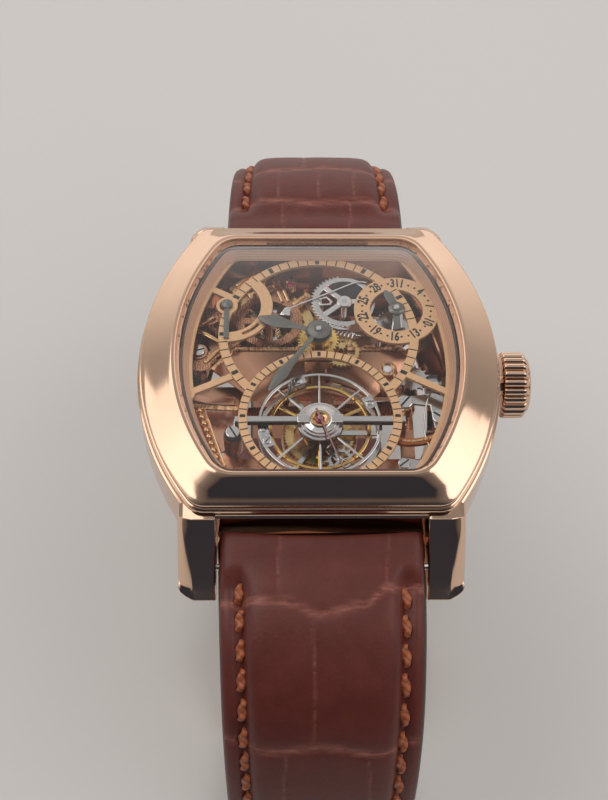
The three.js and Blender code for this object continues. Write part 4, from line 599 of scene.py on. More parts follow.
def make_crown():
    start, height = 19.15, 4.7
    lobes, per_lobe = 22, 10
    count = lobes * per_lobe
    profile = [
        (0.35, 0.0, 0.0), (3.05, 0.0, 0.35), (3.3, 0.05, 0.8), (3.46, 0.16, 1.0), (3.5, 0.32, 1.0),
        (3.5, 2.05, 1.0), (3.46, 2.25, 1.0), (3.34, 2.42, 0.85), (3.12, 2.54, 0.5), (2.95, 2.6, 0.1),
        (2.9, 2.7, 0.0), (2.75, 2.86, 0.0), (2.55, 2.92, 0.0), (1.9, 3.08, 0.0), (1.0, 3.2, 0.0),
        (0.3, 3.25, 0.0),
    ]
    rings = []
    for radius, reach, share in profile:
        ring = []
        for step in range(count):
            across = (step % per_lobe) / per_lobe * 2 - 1
            depth = 0.5 * (1 - math.sqrt(max(0.0, 1 - across ** 2))) * share
            ring.append((start + reach, *polar(radius - depth, 2 * math.pi * step / count, (0.0, height))))
        rings.append(ring)
    made = finish_mesh("crown_fluted", *strip(rings), "rose_gold", "crown", angle=50.0)
    stand_in("crown", "rose_gold", made)


make_bezel()
make_case_middle()
make_flange()
make_crystal()
make_crown()


# Strap
STRAP_WIDTH = 20.3
BUCKLE_WIDTH = 16.0
TAPER_LENGTH = 60.0
INNER_SIDE = 1.1
TAIL_INNER = 0.9
MARGIN_SIDE = 0.9
MARGIN_WIDTH = 2.2
PAD_HEIGHT = 2.0
PAD_LENGTH = 50.0
BUCKLE_BAR = (-9.0, -35.6)
LUG_BAR = (21.4, 3.9)
BAR_BORE = 0.9
RING_PITCH = 0.36
START_ROUND = 0.8
END_ROUND = 0.7
STITCH_LENGTH = 2.4
STITCH_RADIUS = 0.46
STITCH_PITCH = 2.55
SEAM_INSET = 2.05
HIDE_PLACES = (-10.2, -6.0, -2.5, 0.8, 4.2, 7.5, 10.2)
SHOULDER = [(18.75, 3.75), (21.4, 3.9), (25.5, 4.1), (29.5, 3.2), (34.3, 0.3), (37.6, -5.0), (39.3, -12.0)]
UPPER_PATH = SHOULDER + [
    (39.0, -20.0), (35.8, -28.0), (29.5, -33.4), (22.0, -35.3), (12.0, -35.6), (-10.3, -35.6),
]
LOWER_PATH = SHOULDER + [
    (39.2, -20.0), (36.8, -28.0), (31.5, -34.5), (24.5, -37.6), (16.0, -38.2), (0.0, -38.2), (-26.0, -38.2),
]


class Route:
    """A centripetal Catmull-Rom curve through points of the YZ plane, read by length."""

    def __init__(self, points, per_span=60):
        ends = [Vector(p) for p in points]
        ends = [2 * ends[0] - ends[1], *ends, 2 * ends[-1] - ends[-2]]
        self.points = []
        for i in range(1, len(ends) - 2):
            p0, p1, p2, p3 = ends[i - 1:i + 3]
            d0, d1, d2 = (max(1e-4, (b - a).length ** 0.5) for a, b in ((p0, p1), (p1, p2), (p2, p3)))
            out = ((p1 - p0) / d0 - (p2 - p0) / (d0 + d1) + (p2 - p1) / d1) * d1
            into = ((p2 - p1) / d1 - (p3 - p1) / (d1 + d2) + (p3 - p2) / d2) * d1
            for k in range(per_span):
                t = k / per_span
                self.points.append(
                    p1 * (2 * t ** 3 - 3 * t * t + 1) + out * (t ** 3 - 2 * t * t + t)
                    + p2 * (3 * t * t - 2 * t ** 3) + into * (t ** 3 - t * t)
                )
        self.points.append(ends[-2])
        self.at = [0.0]
        for a, b in zip(self.points, self.points[1:]):
            self.at.append(self.at[-1] + (b - a).length)
        self.length = self.at[-1]
        self.cursor = 0

    def read(self, along):
        """Point, tangent and outward normal at a length."""
        along = min(max(along, 0.0), self.length - 1e-6)
        if self.at[self.cursor] > along:
            self.cursor = 0
        while self.at[self.cursor + 1] < along:
            self.cursor += 1
        a, b = self.points[self.cursor], self.points[self.cursor + 1]
        share = (along - self.at[self.cursor]) / (self.at[self.cursor + 1] - self.at[self.cursor])
        tangent = (b - a).normalized()
        return a.lerp(b, share), tangent, Vector((-tangent.y, tangent.x))


def smooth(x):
    x = min(1.0, max(0.0, x))
    return x * x * (3 - 2 * x)


def between(points, x):
    """A smooth curve through (place, value) pairs."""
    for (x0, y0), (x1, y1) in zip(points, points[1:]):
        if x <= x1:
            return y0 + (y1 - y0) * smooth((x - x0) / (x1 - x0))
    return points[-1][1]


class Hide:
    """Large square scales: creases across the strap and thin lines along it."""

    def __init__(self, seed, creases, first_columns):
        rng = random.Random(seed)
        self.creases = list(creases)
        self.columns = [list(c) for c in first_columns]
        while self.creases[-1][0][1] < 118:
            base = self.creases[-1][0][1] + rng.uniform(9.0, 12.0)
            self.creases.append([(x, base + rng.uniform(-0.7, 0.9)) for x in HIDE_PLACES])
        while len(self.columns) <= len(self.creases):
            self.columns.append(rng.choice([
                [rng.uniform(-1.4, 1.4)], [rng.uniform(-4.6, -3.2), rng.uniform(3.0, 5.0)],
                [rng.uniform(-5.5, -4.0), rng.uniform(-0.8, 0.8), rng.uniform(4.2, 5.6)],
            ]))

    def relief(self, x, s, half):
        """(height, crease share) at a place on the strap."""
        rows = [between(crease, x) for crease in self.creases]
        row = sum(1 for place in rows if s > place)
        gap = min(abs(s - place) for place in rows)
        side = 99.0
        for column, place in enumerate(self.columns[row]):
            side = min(side, abs(x - place - 0.12 * math.sin(s * 0.6 + place + column)))
        inside = smooth((half - abs(x)) / 1.2)
        across = math.exp(-(gap / 0.34) ** 2)
        along = 0.6 * math.exp(-(side / 0.11) ** 2) * smooth(gap / 0.5)
        swell = 0.07 * (1 - math.exp(-min(gap, side * 1.6, 3.0) / 0.8))
        wrinkle = 0.035 * across * math.sin(s * 17 + 4 * math.sin(x * 1.7) + 2 * math.sin(x * 4.1))
        return (swell - 0.10 * across - 0.05 * along + wrinkle) * inside, max(across, along)


def round_end(share):
    """Quarter circle that rises from 0 to 1."""
    return math.sqrt(max(0.0, 1 - (1 - share) ** 2))


def half_width(along):
    return (STRAP_WIDTH + (BUCKLE_WIDTH - STRAP_WIDTH) * min(1.0, along / TAPER_LENGTH)) / 2


def pad_rise(x, along, half):
    """Height of the padding over the margin: full width round the lug bar, then between the seams."""
    lift = PAD_HEIGHT * max(0.0, 1 - (along / PAD_LENGTH) ** 2)
    edge = half - abs(x)
    inside = edge - MARGIN_WIDTH
    crown = 0.14 * (1 - (x / half) ** 2)
    pad = 0.0
    if inside > 0:
        pad = lift * (0.86 * (1 - math.exp(-inside / 0.55)) + crown)
    roll = smooth((6.4 - along) / 2.6)
    full = lift * (0.8 * (1 - math.exp(-edge / 0.28)) + crown * 1.2) + 0.55 * smooth((4.5 - along) / 4.0)
    shoulder = 0.24 * lift * math.exp(-((edge - 1.0) / 0.75) ** 2)
    return pad + shoulder + (full - pad - shoulder) * roll


def strap_half(name, path, inner, tip, flip, hide):
    """Skin of one strap half: lining, two edges and the padded face, ring by ring along its route."""
    route = Route(path)
    steps = int(route.length / RING_PITCH)
    under, across = 10, 76
    rings, grooves = [], []
    for step in range(steps + 1):
        along = route.length * step / steps
        point, tangent, normal = route.read(along)
        half = half_width(along)
        rest = route.length - along
        if tip > 0 and rest < tip:
            half *= 0.35 + 0.65 * round_end(rest / tip)
        squeeze = 1.0
        if along < START_ROUND:
            squeeze = 0.78 + 0.22 * round_end(along / START_ROUND)
        elif rest < END_ROUND:
            squeeze = 0.55 + 0.45 * round_end(rest / END_ROUND)
        edge = [
            (half - 0.1, -inner + 0.1, 0.0), (half, -inner + 0.35, 0.0), (half, 0.0, 0.0),
            (half, MARGIN_SIDE - 0.45, 0.0), (half - 0.1, MARGIN_SIDE - 0.12, 0.0),
        ]
        width = 2 * half - 0.7
        section = [(-half + 0.35 + width * i / (under - 1), -inner, 0.0) for i in range(under)] + edge
        for i in range(across):
            x = (half - 0.3) * (1 - 2 * i / (across - 1))
            lift, groove = hide.relief(x, along, half)
            rise = MARGIN_SIDE + pad_rise(x, along, half) + lift * smooth((half - abs(x)) / 0.8)
            section.append((x, rise, groove))
        section += [(-x, rise, groove) for x, rise, groove in reversed(edge)]
        ring = []
        for x, rise, groove in section:
            rise *= squeeze
            slide = 0.85 * (1 - (x / half) ** 2) * max(0.0, 1 - along / 5)
            place = point + normal * rise + tangent * slide
            ring.append((x, -place.x if flip else place.x, place.y))
            grooves.append(groove)
        rings.append(ring)
    made = finish_mesh(name, *strip(rings), "leather", None, angle=60.0)
    mesh = made.data
    mesh.materials.append(MATERIAL["leather_edge"])
    mesh.materials.append(MATERIAL["lining"])
    count = len(rings[0])
    first = under + len(edge)
    for face in mesh.polygons:
        spots = [v % count for v in face.vertices]
        if len(spots) == 4 and max(spots) < under:
            face.material_index = 2
        elif len(spots) != 4 or min(spots) < first or min(spots) >= first + across:
            face.material_index = 1
    shade = mesh.attributes.new("groove", "FLOAT", "POINT")
    shade.data.foreach_set("value", grooves)
    return made, route


def carve(obj, cutters):
    """Cuts other meshes out of obj and leaves no modifier on it."""
    for cutter in cutters:
        modifier = obj.modifiers.new("cut", "BOOLEAN")
        modifier.operation = "DIFFERENCE"
        modifier.solver = "EXACT"
        modifier.object = cutter
    graph = bpy.context.evaluated_depsgraph_get()
    mesh = bpy.data.meshes.new_from_object(obj.evaluated_get(graph))
    obj.modifiers.clear()
    obj.data = mesh
    for cutter in cutters:
        bpy.data.objects.remove(cutter)


def cutter_tube(centre, radius, length, axis):
    return turned("cutter", [(radius, -length / 2), (radius, length / 2)], centre, "steel", None, 24, axis)


def cutter_slot(centre, width, length, height):
    outline = []
    for x, y in circle(width / 2, count=24):
        outline.append((centre[0] + x, centre[1] + y + math.copysign(length / 2 - width / 2, y)))
    low, high = centre[2] - height / 2, centre[2] + height / 2
    return plate("cutter", outline, low, high, "steel", None, bevel=0.001)


def stitch_points(centre, along, side, up, length, radius):
    """Rings of one twisted stitch that dips into the leather at both ends."""
    sides, steps = 14, 18
    rings = []
    for step in range(steps + 1):
        part = step / steps * 2 - 1
        body = math.sqrt(max(0.0, 1 - abs(part) ** 5))
        r = radius * (0.35 + 0.65 * body)
        middle = centre + along * (part * length / 2) + up * (0.22 * body - 0.42 * abs(part) ** 6)
        ring = []
        for k in range(sides):
            turn = 2 * math.pi * k / sides
            lobe = r * (1 + 0.24 * math.cos(2 * (turn - part * 2.6)))
            ring.append(tuple(middle + side * (lobe * math.cos(turn)) + up * (lobe * math.sin(turn))))
        rings.append(ring)
    return strip(rings)


def stitch_row(name, route, side, flip, start, stop):
    """A seam of short fat stitches, ending before the keepers."""
    points, faces = [], []
    along = start
    while along < stop:
        point, tangent, normal = route.read(along)
        if flip and along > 40 and point.x < 0:
            break
        half = half_width(along)
        x = side * (half - SEAM_INSET)
        rise = MARGIN_SIDE + 0.05
        base = Vector((x, point.x + normal.x * rise, point.y + normal.y * rise))
        forward = Vector((0.0, tangent.x, tangent.y))
        up = Vector((0.0, normal.x, normal.y))
        lean = (forward + Vector((side * 0.16, 0, 0))).normalized()
        right = lean.cross(up).normalized()
        if flip:
            base.y, lean.y, up.y, right.y = -base.y, -lean.y, -up.y, -right.y
        more, skin = stitch_points(base, lean, right, up, STITCH_LENGTH, STITCH_RADIUS)
        faces += [tuple(v + len(points) for v in face) for face in skin]
        points += more
        along += STITCH_PITCH
    finish_mesh(name, points, faces, "thread", angle=80.0)


def leather(name, colour, crease, rough):
    """Half-glossy scaled hide: wrinkled creases a little paler, pores and soft mottling."""
    paint = Paint(name, colour, rough, 0.0, Coat_Weight=0.05, Coat_Roughness=0.35, Specular_IOR_Level=0.3)
    mottle = paint.noise(420.0, 4.0, 0.6)
    base = paint.ramp(mottle, shades(colour, 0.86), shades(colour, 1.1), (0.3, 0.7))
    groove = paint.tree.nodes.new("ShaderNodeAttribute")
    groove.attribute_name = "groove"
    wrinkles = paint.noise(1300.0, 3.0, stretch=(0.45, 1.7, 1.7))
    lines = paint.tree.nodes.new("ShaderNodeMath")
    lines.operation = "MULTIPLY"
    paint.link(groove.outputs["Fac"], lines.inputs[0])
    paint.link(paint.spread(wrinkles, -0.8, 1.8), lines.inputs[1])
    mix = paint.tree.nodes.new("ShaderNodeMix")
    mix.data_type = "RGBA"
    paint.link(lines.outputs["Value"], mix.inputs["Factor"])
    paint.link(base, mix.inputs["A"])
    mix.inputs["B"].default_value = (*crease, 1.0)
    paint.colour_from(mix.outputs["Result"])
    pores = paint.placed("ShaderNodeTexVoronoi", Scale=2600.0)
    paint.bump(paint.times_plus(lines.outputs["Value"], 3.0, pores.outputs["Distance"]), 0.3, 0.00005)
    paint.rough_from(paint.spread(mottle, rough - 0.05, rough + 0.1))
    return paint.material


def thread(name, colour):
    paint = Paint(name, colour, 0.5, 0.0, Sheen_Weight=0.15)
    twist = paint.placed("ShaderNodeTexWave", Scale=620.0, Distortion=1.5)
    twist.bands_direction = "DIAGONAL"
    # Painted shade: darker bands along the twist where the plies meet.
    paint.colour_from(paint.ramp(twist.outputs["Fac"], shades(colour, 0.6), colour, (0.0, 0.5)))
    paint.bump(twist.outputs["Fac"], 0.5, 0.00008)
    return paint.material


# Base colour: the hide's own red-brown, partly darkened as painted shade that stands for the shade the lower
# strap lies in.
stock(leather, leather=((0.108, 0.024, 0.018), (0.31, 0.11, 0.08), 0.38))
stock(thread, thread=((0.36, 0.095, 0.032),))


def place_half(made, node, cuts):
    carve(made, cuts)
    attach(made, "watch")
    stand_in(node, "leather", made)


def make_strap():
    lug_y, lug_z = LUG_BAR
    bar_y, bar_z = BUCKLE_BAR
    wide = 30
    creases = [
        [(-10.2, 5.6), (-5.0, 5.9), (0.0, 5.5), (5.0, 5.9), (10.2, 5.6)],
        [(-10.2, 11.3), (-4.0, 10.9), (1.0, 11.6), (6.0, 11.0), (10.2, 11.4)],
    ]
    hide = Hide(5, creases, [[-3.6, 3.9], [-4.2, 0.4, 4.6], [-1.2]])
    upper, route = strap_half("strap_upper_hide", UPPER_PATH, INNER_SIDE, 0, False, hide)
    place_half(upper, "strap_upper", [
        cutter_tube((0, lug_y, lug_z), BAR_BORE, wide, "X"),
        cutter_tube((0, bar_y, bar_z), BAR_BORE, wide, "X"),
        cutter_slot((0, bar_y - 0.7, bar_z), 2.8, 6.5, 12),
    ])
    for side, hand in SIDES:
        stitch_row(f"stitches_upper_{hand}", route, side, False, 4.2, route.length - 8)

    creases = [
        [(-10.2, 7.2), (-6.0, 7.4), (-3.7, 7.5), (-0.4, 8.6), (3.6, 7.8), (6.4, 6.3), (8.2, 5.8), (10.2, 5.9)],
        [(-10.2, 19.0), (-5.0, 19.6), (0.0, 19.2), (5.0, 19.9), (10.2, 19.3)],
    ]
    hide = Hide(9, creases, [[-4.1, 6.2], [-0.9], [-3.6, 4.4]])
    lower, route = strap_half("strap_lower_hide", LOWER_PATH, TAIL_INNER, 7, True, hide)
    tang_y, tail_z, pitch = -13.2, -38.2, 7
    cuts = [
        cutter_tube((0, -lug_y, lug_z), BAR_BORE, wide, "X"), cutter_slot((0, tang_y, tail_z), 1.9, 8.0, 8),
    ]
    for step in (-1.2, 1.2, 2.2, 3.2):
        cuts.append(cutter_tube((0, tang_y + step * pitch, tail_z), 0.8, 8, "Z"))
    place_half(lower, "strap_lower", cuts)
    for (side, hand), first in zip(SIDES, (6.2, 6.7)):
        stitch_row(f"stitches_lower_{hand}", route, side, True, first, route.length - 11)


def rounded_box(half, low, high, radius):
    """Outline of a keeper's section with rounded corners."""
    points = []
    for cx, cz, first in (
        (half - radius, high - radius, 0), (-half + radius, high - radius, 90),
        (-half + radius, low + radius, 180), (half - radius, low + radius, 270),
    ):
        points += [polar(radius, math.radians(first + 90 * k / 6), (cx, cz)) for k in range(7)]
    return points


def make_keepers():
    top = BUCKLE_BAR[1] + INNER_SIDE + 0.3
    outer = rounded_box(9.7, FLOOR_Z, top + 1.2, 0.9)
    inner = rounded_box(8.5, FLOOR_Z + 1.2, top, 0.25)
    half = 2.5
    for name, middle, body in (("fixed_keeper", 5.5, "watch"), ("free_keeper", 16.5, "free_keeper")):
        rings = []
        for y, share in ((-half, 0.82), (-2.3, 0.96), (-1.9, 1.0), (1.9, 1.0), (2.3, 0.96), (half, 0.82)):
            rings.append([
                (i[0] + (o[0] - i[0]) * share, middle + y, i[1] + (o[1] - i[1]) * share)
                for o, i in zip(outer, inner)
            ])
        rings += [[(x, middle + y, z) for x, z in inner] for y in (half, -half)]
        made = finish_mesh(f"{name}_leather", *strip(rings, True), "leather", body, angle=50.0)
        stand_in(name, "leather", made)


make_strap()
make_keepers()


# Dial
DIAL_HALF = (14.17, 14.42)
DIAL_WINDOW = (13.05, 14.12)
DIAL_BOTTOM = 8.6
HOUR_BAND = (10.475, 9.525)
SECONDS_BAND = (8.24, 7.36)
DATE_BAND = (4.5, 2.8)
RESERVE_BAND = (4.85, 3.6)
INK_TOP = DIAL_TOP + 0.014
INK_DEPTH = 0.014


def flat(outline):
    return [(x, y) for x, y, _ in outline]


def distance(x, y, centre):
    return math.hypot(x - centre[0], y - centre[1])


def ink_bar(place, angle, length, width, top):
    """Box standing for one printed mark, its long side along the angle."""
    along = Vector((math.cos(angle), math.sin(angle)))
    side = Vector((-along.y, along.x)) * width / 2
    along = along * length / 2
    centre = Vector(place)
    corners = [centre - along - side, centre + along - side, centre + along + side, centre - along + side]
    return [(c.x, c.y, z) for z in (top - 0.03, top) for c in corners]


BOX_FACES = [(3, 2, 1, 0), (4, 5, 6, 7), (0, 1, 5, 4), (1, 2, 6, 5), (2, 3, 7, 6), (3, 0, 4, 7)]


def boxes(name, items, material, body="watch"):
    points = [p for item in items for p in item]
    faces = [tuple(8 * i + corner for corner in face) for i in range(len(items)) for face in BOX_FACES]
    return finish_mesh(name, points, faces, material, body)


def ring_marks(name, centre, band, top, hidden, thick):
    """Sixty marks across a ring, every fifth a thick short one."""
    middle = (band[0] + band[1]) / 2
    items = []
    for step in range(60):
        angle = math.pi / 2 - 2 * math.pi * step / 60
        place = polar(middle, angle, centre)
        if not hidden(*place):
            size = (band[0] - band[1] - 0.06, 0.12) if step % 5 else thick
            items.append(ink_bar(place, angle, *size, top))
    boxes(name, items, "ink")


def numeral(text, place, height, turn):
    """Printed number as a thin solid, condensed like the dial's."""
    curve = bpy.data.curves.new(f"number_{text}", "FONT")
    curve.body = text
    curve.align_x = "CENTER"
    curve.align_y = "CENTER"
    curve.size = height * 1.36 * MM
    curve.offset = 0.045 * height * MM
    curve.extrude = INK_DEPTH * MM
    curve.resolution_u = 3
    mesh = baked(curve, "ink")
    move = Matrix.Translation((place[0] * MM, place[1] * MM, (INK_TOP - INK_DEPTH) * MM))
    mesh.transform(move @ Matrix.Rotation(turn, 4, "Z") @ Matrix.Diagonal((0.66, 1.0, 1.0, 1.0)))
    return bpy.data.objects.new(mesh.name, mesh)


def make_date_numbers():
    days = 31
    middle = (DATE_BAND[0] + DATE_BAND[1]) / 2
    marks = []
    for day in range(1, days + 1):
        angle = math.pi / 2 - 2 * math.pi * day / days
        place = polar(middle, angle, DATE)
        if day % 3 == 1:
            turn = angle + math.pi / 2 if day in (13, 16, 19) else angle - math.pi / 2
            marks.append(numeral(str(day), place, 1.12, turn))
        else:
            dot = [(0.13, 0), (0.13, 0.02)]
            marks.append(turned("date_dot", dot, (*place, DIAL_TOP - 0.006), "ink", None, 10))
    joined("date_numbers", marks)


def make_dial():
    window = [(x * 1.045 if x < -8 and y < -4.6 else x, y) for x, y in flat(tonneau(DIAL_WINDOW, 0))]
    meet = math.radians(-47.0)
    slit = sector(4.32, 3.98, -1.16, -0.62, 20)
    parts = [
        ("dial_frame", flat(tonneau(DIAL_HALF, 0)), 0.02, (0, 0), [window]),
        ("hour_ring", sector(*HOUR_BAND, meet, math.pi - meet, 150), 0.01, HANDS, []),
        ("seconds_ring", circle(SECONDS_BAND[0], 128), 0.0, TOURBILLON, [circle(SECONDS_BAND[1], 128)]),
        ("date_ring", circle(DATE_BAND[0], 96), 0.0, DATE, [circle(DATE_BAND[1], 96)]),
        ("reserve_arc", sector(*RESERVE_BAND, -1.66, 0.86, 60), 0.005, RESERVE, [slit]),
        ("reserve_boss", circle(1.15, 48), 0.0, RESERVE, [circle(0.78, 40)]),
        ("dial_arm_1", bar((-13.6, -4.2), (-9.0, -1.95), 0.75), 0.03, (0, 0), []),
        ("dial_arm_2", bar((13.6, -4.3), (9.0, -1.7), 0.75), 0.03, (0, 0), []),
        ("dial_arm_3", bar((-12.2, 10.2), (-9.0, 8.4), 0.75), 0.03, (0, 0), []),
    ]
    stand_in("dial", "dial_gold", *[
        plate(name, outline, DIAL_BOTTOM, DIAL_TOP - drop, "dial_gold", holes=holes, place=place)
        for name, outline, drop, place, holes in parts
    ])

    def under_rings(x, y):
        on_date = DATE_BAND[1] - 0.1 < distance(x, y, DATE) < DATE_BAND[0] + 0.1
        return on_date or distance(x, y, TOURBILLON) < SECONDS_BAND[0] + 0.1 or distance(x, y, RESERVE) < 1.2

    ring_marks("hour_marks", HANDS, HOUR_BAND, DIAL_TOP + 0.004, under_rings, (0.72, 0.44))
    ring_marks("seconds_marks", TOURBILLON, SECONDS_BAND, INK_TOP, lambda x, y: False, (0.56, 0.34))
    make_date_numbers()


# Hands
def leaf(name, half_widths, slant, bottom, edge, ridge, centre, angle, body):
    """A hand blade along the angle: (reach, half width) pairs, with a low ridge along its middle."""
    rings = []
    for reach, half in half_widths:
        lean = slant * half if reach > half_widths[-4][0] else 0.0
        ring = []
        for across, z in [(-half, bottom), (-half, edge), (0.0, ridge), (half, edge), (half, bottom)]:
            x = reach + lean * across / max(half, 0.01)
            ring.append((
                centre[0] + x * math.cos(angle) - across * math.sin(angle),
                centre[1] + x * math.sin(angle) + across * math.cos(angle), z,
            ))
        rings.append(ring)
    return finish_mesh(name, *strip(rings), "hand_grey", body, 20.0)


def hand_pin(name, centre, bottom, top, width, body):
    turn = math.radians(8)
    plate(name, oblong(width, width), bottom, top, "steel_bright", body, bevel=0.03, place=centre, turn=turn)


def hand_hub(name, profile, centre, bottom, body, segments):
    return turned(name, profile, (*centre, bottom), "hand_grey", body, segments)


def make_hands():
    hour_low, minute_low, small_low = 9.3, 9.65, 9.12
    hour = leaf("hour_blade", [
        (0.6, 0.32), (1.9, 0.30), (2.6, 0.36), (3.3, 0.50), (4.0, 0.68), (4.5, 0.77), (4.9, 0.78), (5.4, 0.70),
        (6.0, 0.48), (6.45, 0.26), (6.6, 0.12),
    ], 0.5, hour_low, 9.38, 9.46, HANDS, math.radians(162.2), "hour_hand")
    profile = [(1.4, 0.0), (1.4, 0.13), (1.36, 0.16), (0.9, 0.16)]
    stand_in("hour_hand", "hand_grey", hour, hand_hub("hour_hub", profile, HANDS, hour_low, "hour_hand", 64))
    minute = leaf("minute_blade", [
        (0.6, 0.26), (2.6, 0.25), (3.8, 0.29), (5.0, 0.39), (6.0, 0.52), (6.6, 0.59), (7.0, 0.60), (7.6, 0.54),
        (8.4, 0.38), (9.1, 0.2), (9.4, 0.1),
    ], 0.5, minute_low, 9.73, 9.81, HANDS, math.radians(-123.8), "minute_hand")
    hub = hand_hub("minute_hub", [
        (0.72, 0.0), (1.25, 0.0), (1.25, 0.12), (1.2, 0.16), (0.95, 0.17), (0.9, 0.2),
        (0.42, 0.24), (0.38, 0.3),
    ], HANDS, minute_low, "minute_hand", 64)
    pipe = turned("cannon_pipe", [(0.72, 7.25), (0.72, 9.66)], (*HANDS, 0.0), "steel", "minute_hand", 32)
    stand_in("minute_hand", "hand_grey", minute, hub, pipe)
    hand_pin("minute_pin", HANDS, 9.9, 10.05, 0.24, "minute_hand")

    pointer = plate(
        "reserve_bar", [(-0.275, -4.5), (0.275, -4.5), (0.275, 0), (-0.275, 0)], small_low, 9.24, "hand_grey",
        "reserve_hand", bevel=0.04, place=RESERVE,
    )
    hub = hand_hub("reserve_hub", [
        (0.22, -1.9), (0.22, 0.0), (0.62, 0.0), (0.62, 0.18), (0.55, 0.24), (0.3, 0.26), (0.26, 0.28),
    ], RESERVE, small_low, "reserve_hand", 40)
    stand_in("power_reserve_hand", "hand_grey", pointer, hub)

    pointer = leaf("date_pointer", [
        (0.5, 0.42), (1.2, 0.46), (2.0, 0.5), (2.3, 0.42), (2.55, 0.26), (2.72, 0.14), (2.75, 0.1),
    ], 0.6, small_low, 9.19, 9.24, DATE, math.radians(112), "date_hand")
    tail = [(-0.3, -0.5), (-2.6, -0.05), (-2.75, 0.85), (-0.3, 0.5)]
    edge = [(-0.5, -0.52), (-2.62, -0.14), (-2.6, 0.1), (-0.5, -0.2)]
    legs = [
        plate(name, outline, low, high, material, "date_hand", bevel=0.03, place=DATE, turn=math.radians(100))
        for name, outline, low, high, material in (
            ("date_tail", tail, small_low, 9.2, "hand_grey"), ("date_tail_edge", edge, 9.16, 9.24, "steel"),
        )
    ]
    profile = [(0.9, 0.0), (0.9, 0.16), (0.84, 0.22), (0.5, 0.3), (0.44, 0.38), (0.4, 0.4)]
    hub = hand_hub("date_hub", profile, DATE, small_low, "date_hand", 48)
    stand_in("date_hand", "hand_grey", pointer, hub, *legs)
    hand_pin("date_pin", DATE, 9.5, 9.57, 0.25, "date_hand")


make_dial()
make_hands()


# Small parts
def gear(teeth, module):
    """Outline of a small wheel with pointed teeth."""
    outline = []
    pitch = 2 * math.pi / teeth
    for tooth in range(teeth):
        for share, reach in ((-0.30, -1.1), (-0.13, 0.8), (0.13, 0.8), (0.30, -1.1)):
            outline.append(polar(module * (teeth / 2 + reach), (tooth + share) * pitch))
    return outline


def slotted(place, top, radius, turn, height=0.32):
    """The parts of a polished screw head with a chamfer, its top at the given height, and a thin dark box on
    it that paints the slot's shade.
    """
    bevel = min(0.07, radius * 0.12)
    # Painted shade: the slot is not cut; a thin dark box on the head stands for its shade.
    slot = ink_bar(place, turn, radius * 1.9, radius * 0.26, top + 0.006)
    low = top - height
    return [
        plate("screw_head", circle(radius, 40), low, top, "steel_bright", None, bevel=bevel, place=place),
        boxes("screw_slot_painted_shade", [slot], "slot_dark", None),
    ]


def jewel_setting(place, bottom, top, radius, stone="ruby"):
    """The parts of a gold collar with a polished countersink and a domed stone."""
    depth = bottom - top
    collar = [(0.5, depth), (1, depth), (1, -0.06), (0.94, 0.0), (0.7, 0.0), (0.5, -0.12)]
    dome = [(0.5, depth), (0.5, -0.13), (0.42, -0.04), (0.2, 0.0)]
    collar, dome = ([(radius * share, z) for share, z in profile] for profile in (collar, dome))
    return [
        lathe("setting_collar", collar, (*place, top), "bridge_gold", None, 40),
        turned("setting_stone", dome, (*place, top), stone, None, 28),
    ]


def post(name, radius, low, high, place, material, body="watch", segments=24):
    return turned(name, [(radius, low), (radius, high)], (*place, 0.0), material, body, segments)


def path_bar(name, route, width, bottom, top, material, bevel):
    """A flat bar that follows a route, its ends square."""
    left, right = [], []
    points = [Vector(p) for p in route]
    for index, point in enumerate(points):
        before = points[max(0, index - 1)]
        after = points[min(len(points) - 1, index + 1)]
        along = (after - before).normalized()
        side = Vector((-along.y, along.x)) * width / 2
        left.append(tuple(point + side))
        right.append(tuple(point - side))
    return plate(name, right + left[::-1], bottom, top, material, bevel=bevel)


def arms(name, count, first, inner, outer, width, low, high, material, body, centre):
    """Spokes of a wheel, numbered from one."""
    made = []
    for number in range(count):
        angle = 2 * math.pi * number / count + first
        outline = bar(polar(inner, angle), polar(outer, angle), width)
        arm = f"{name}_{number + 1}"
        made.append(plate(arm, outline, low, high, material, body, bevel=0.05, place=centre))
    return made


def darken(made, chosen):
    """Painted reflection: dark steel on the faces that the test picks, where the polished steel mirrors a dark
    room.
    """
    made.data.materials.append(MATERIAL["steel_dark"])
    for face in made.data.polygons:
        face.material_index = 1 if chosen(face.normal) else 0


# Tourbillon
BRIDGE_LOW = 7.85
BRIDGE_TOP = 8.5
PILLAR_BOTTOM = 5.1
CARRIAGE_RADIUS = 6.3
SPOKES = 8


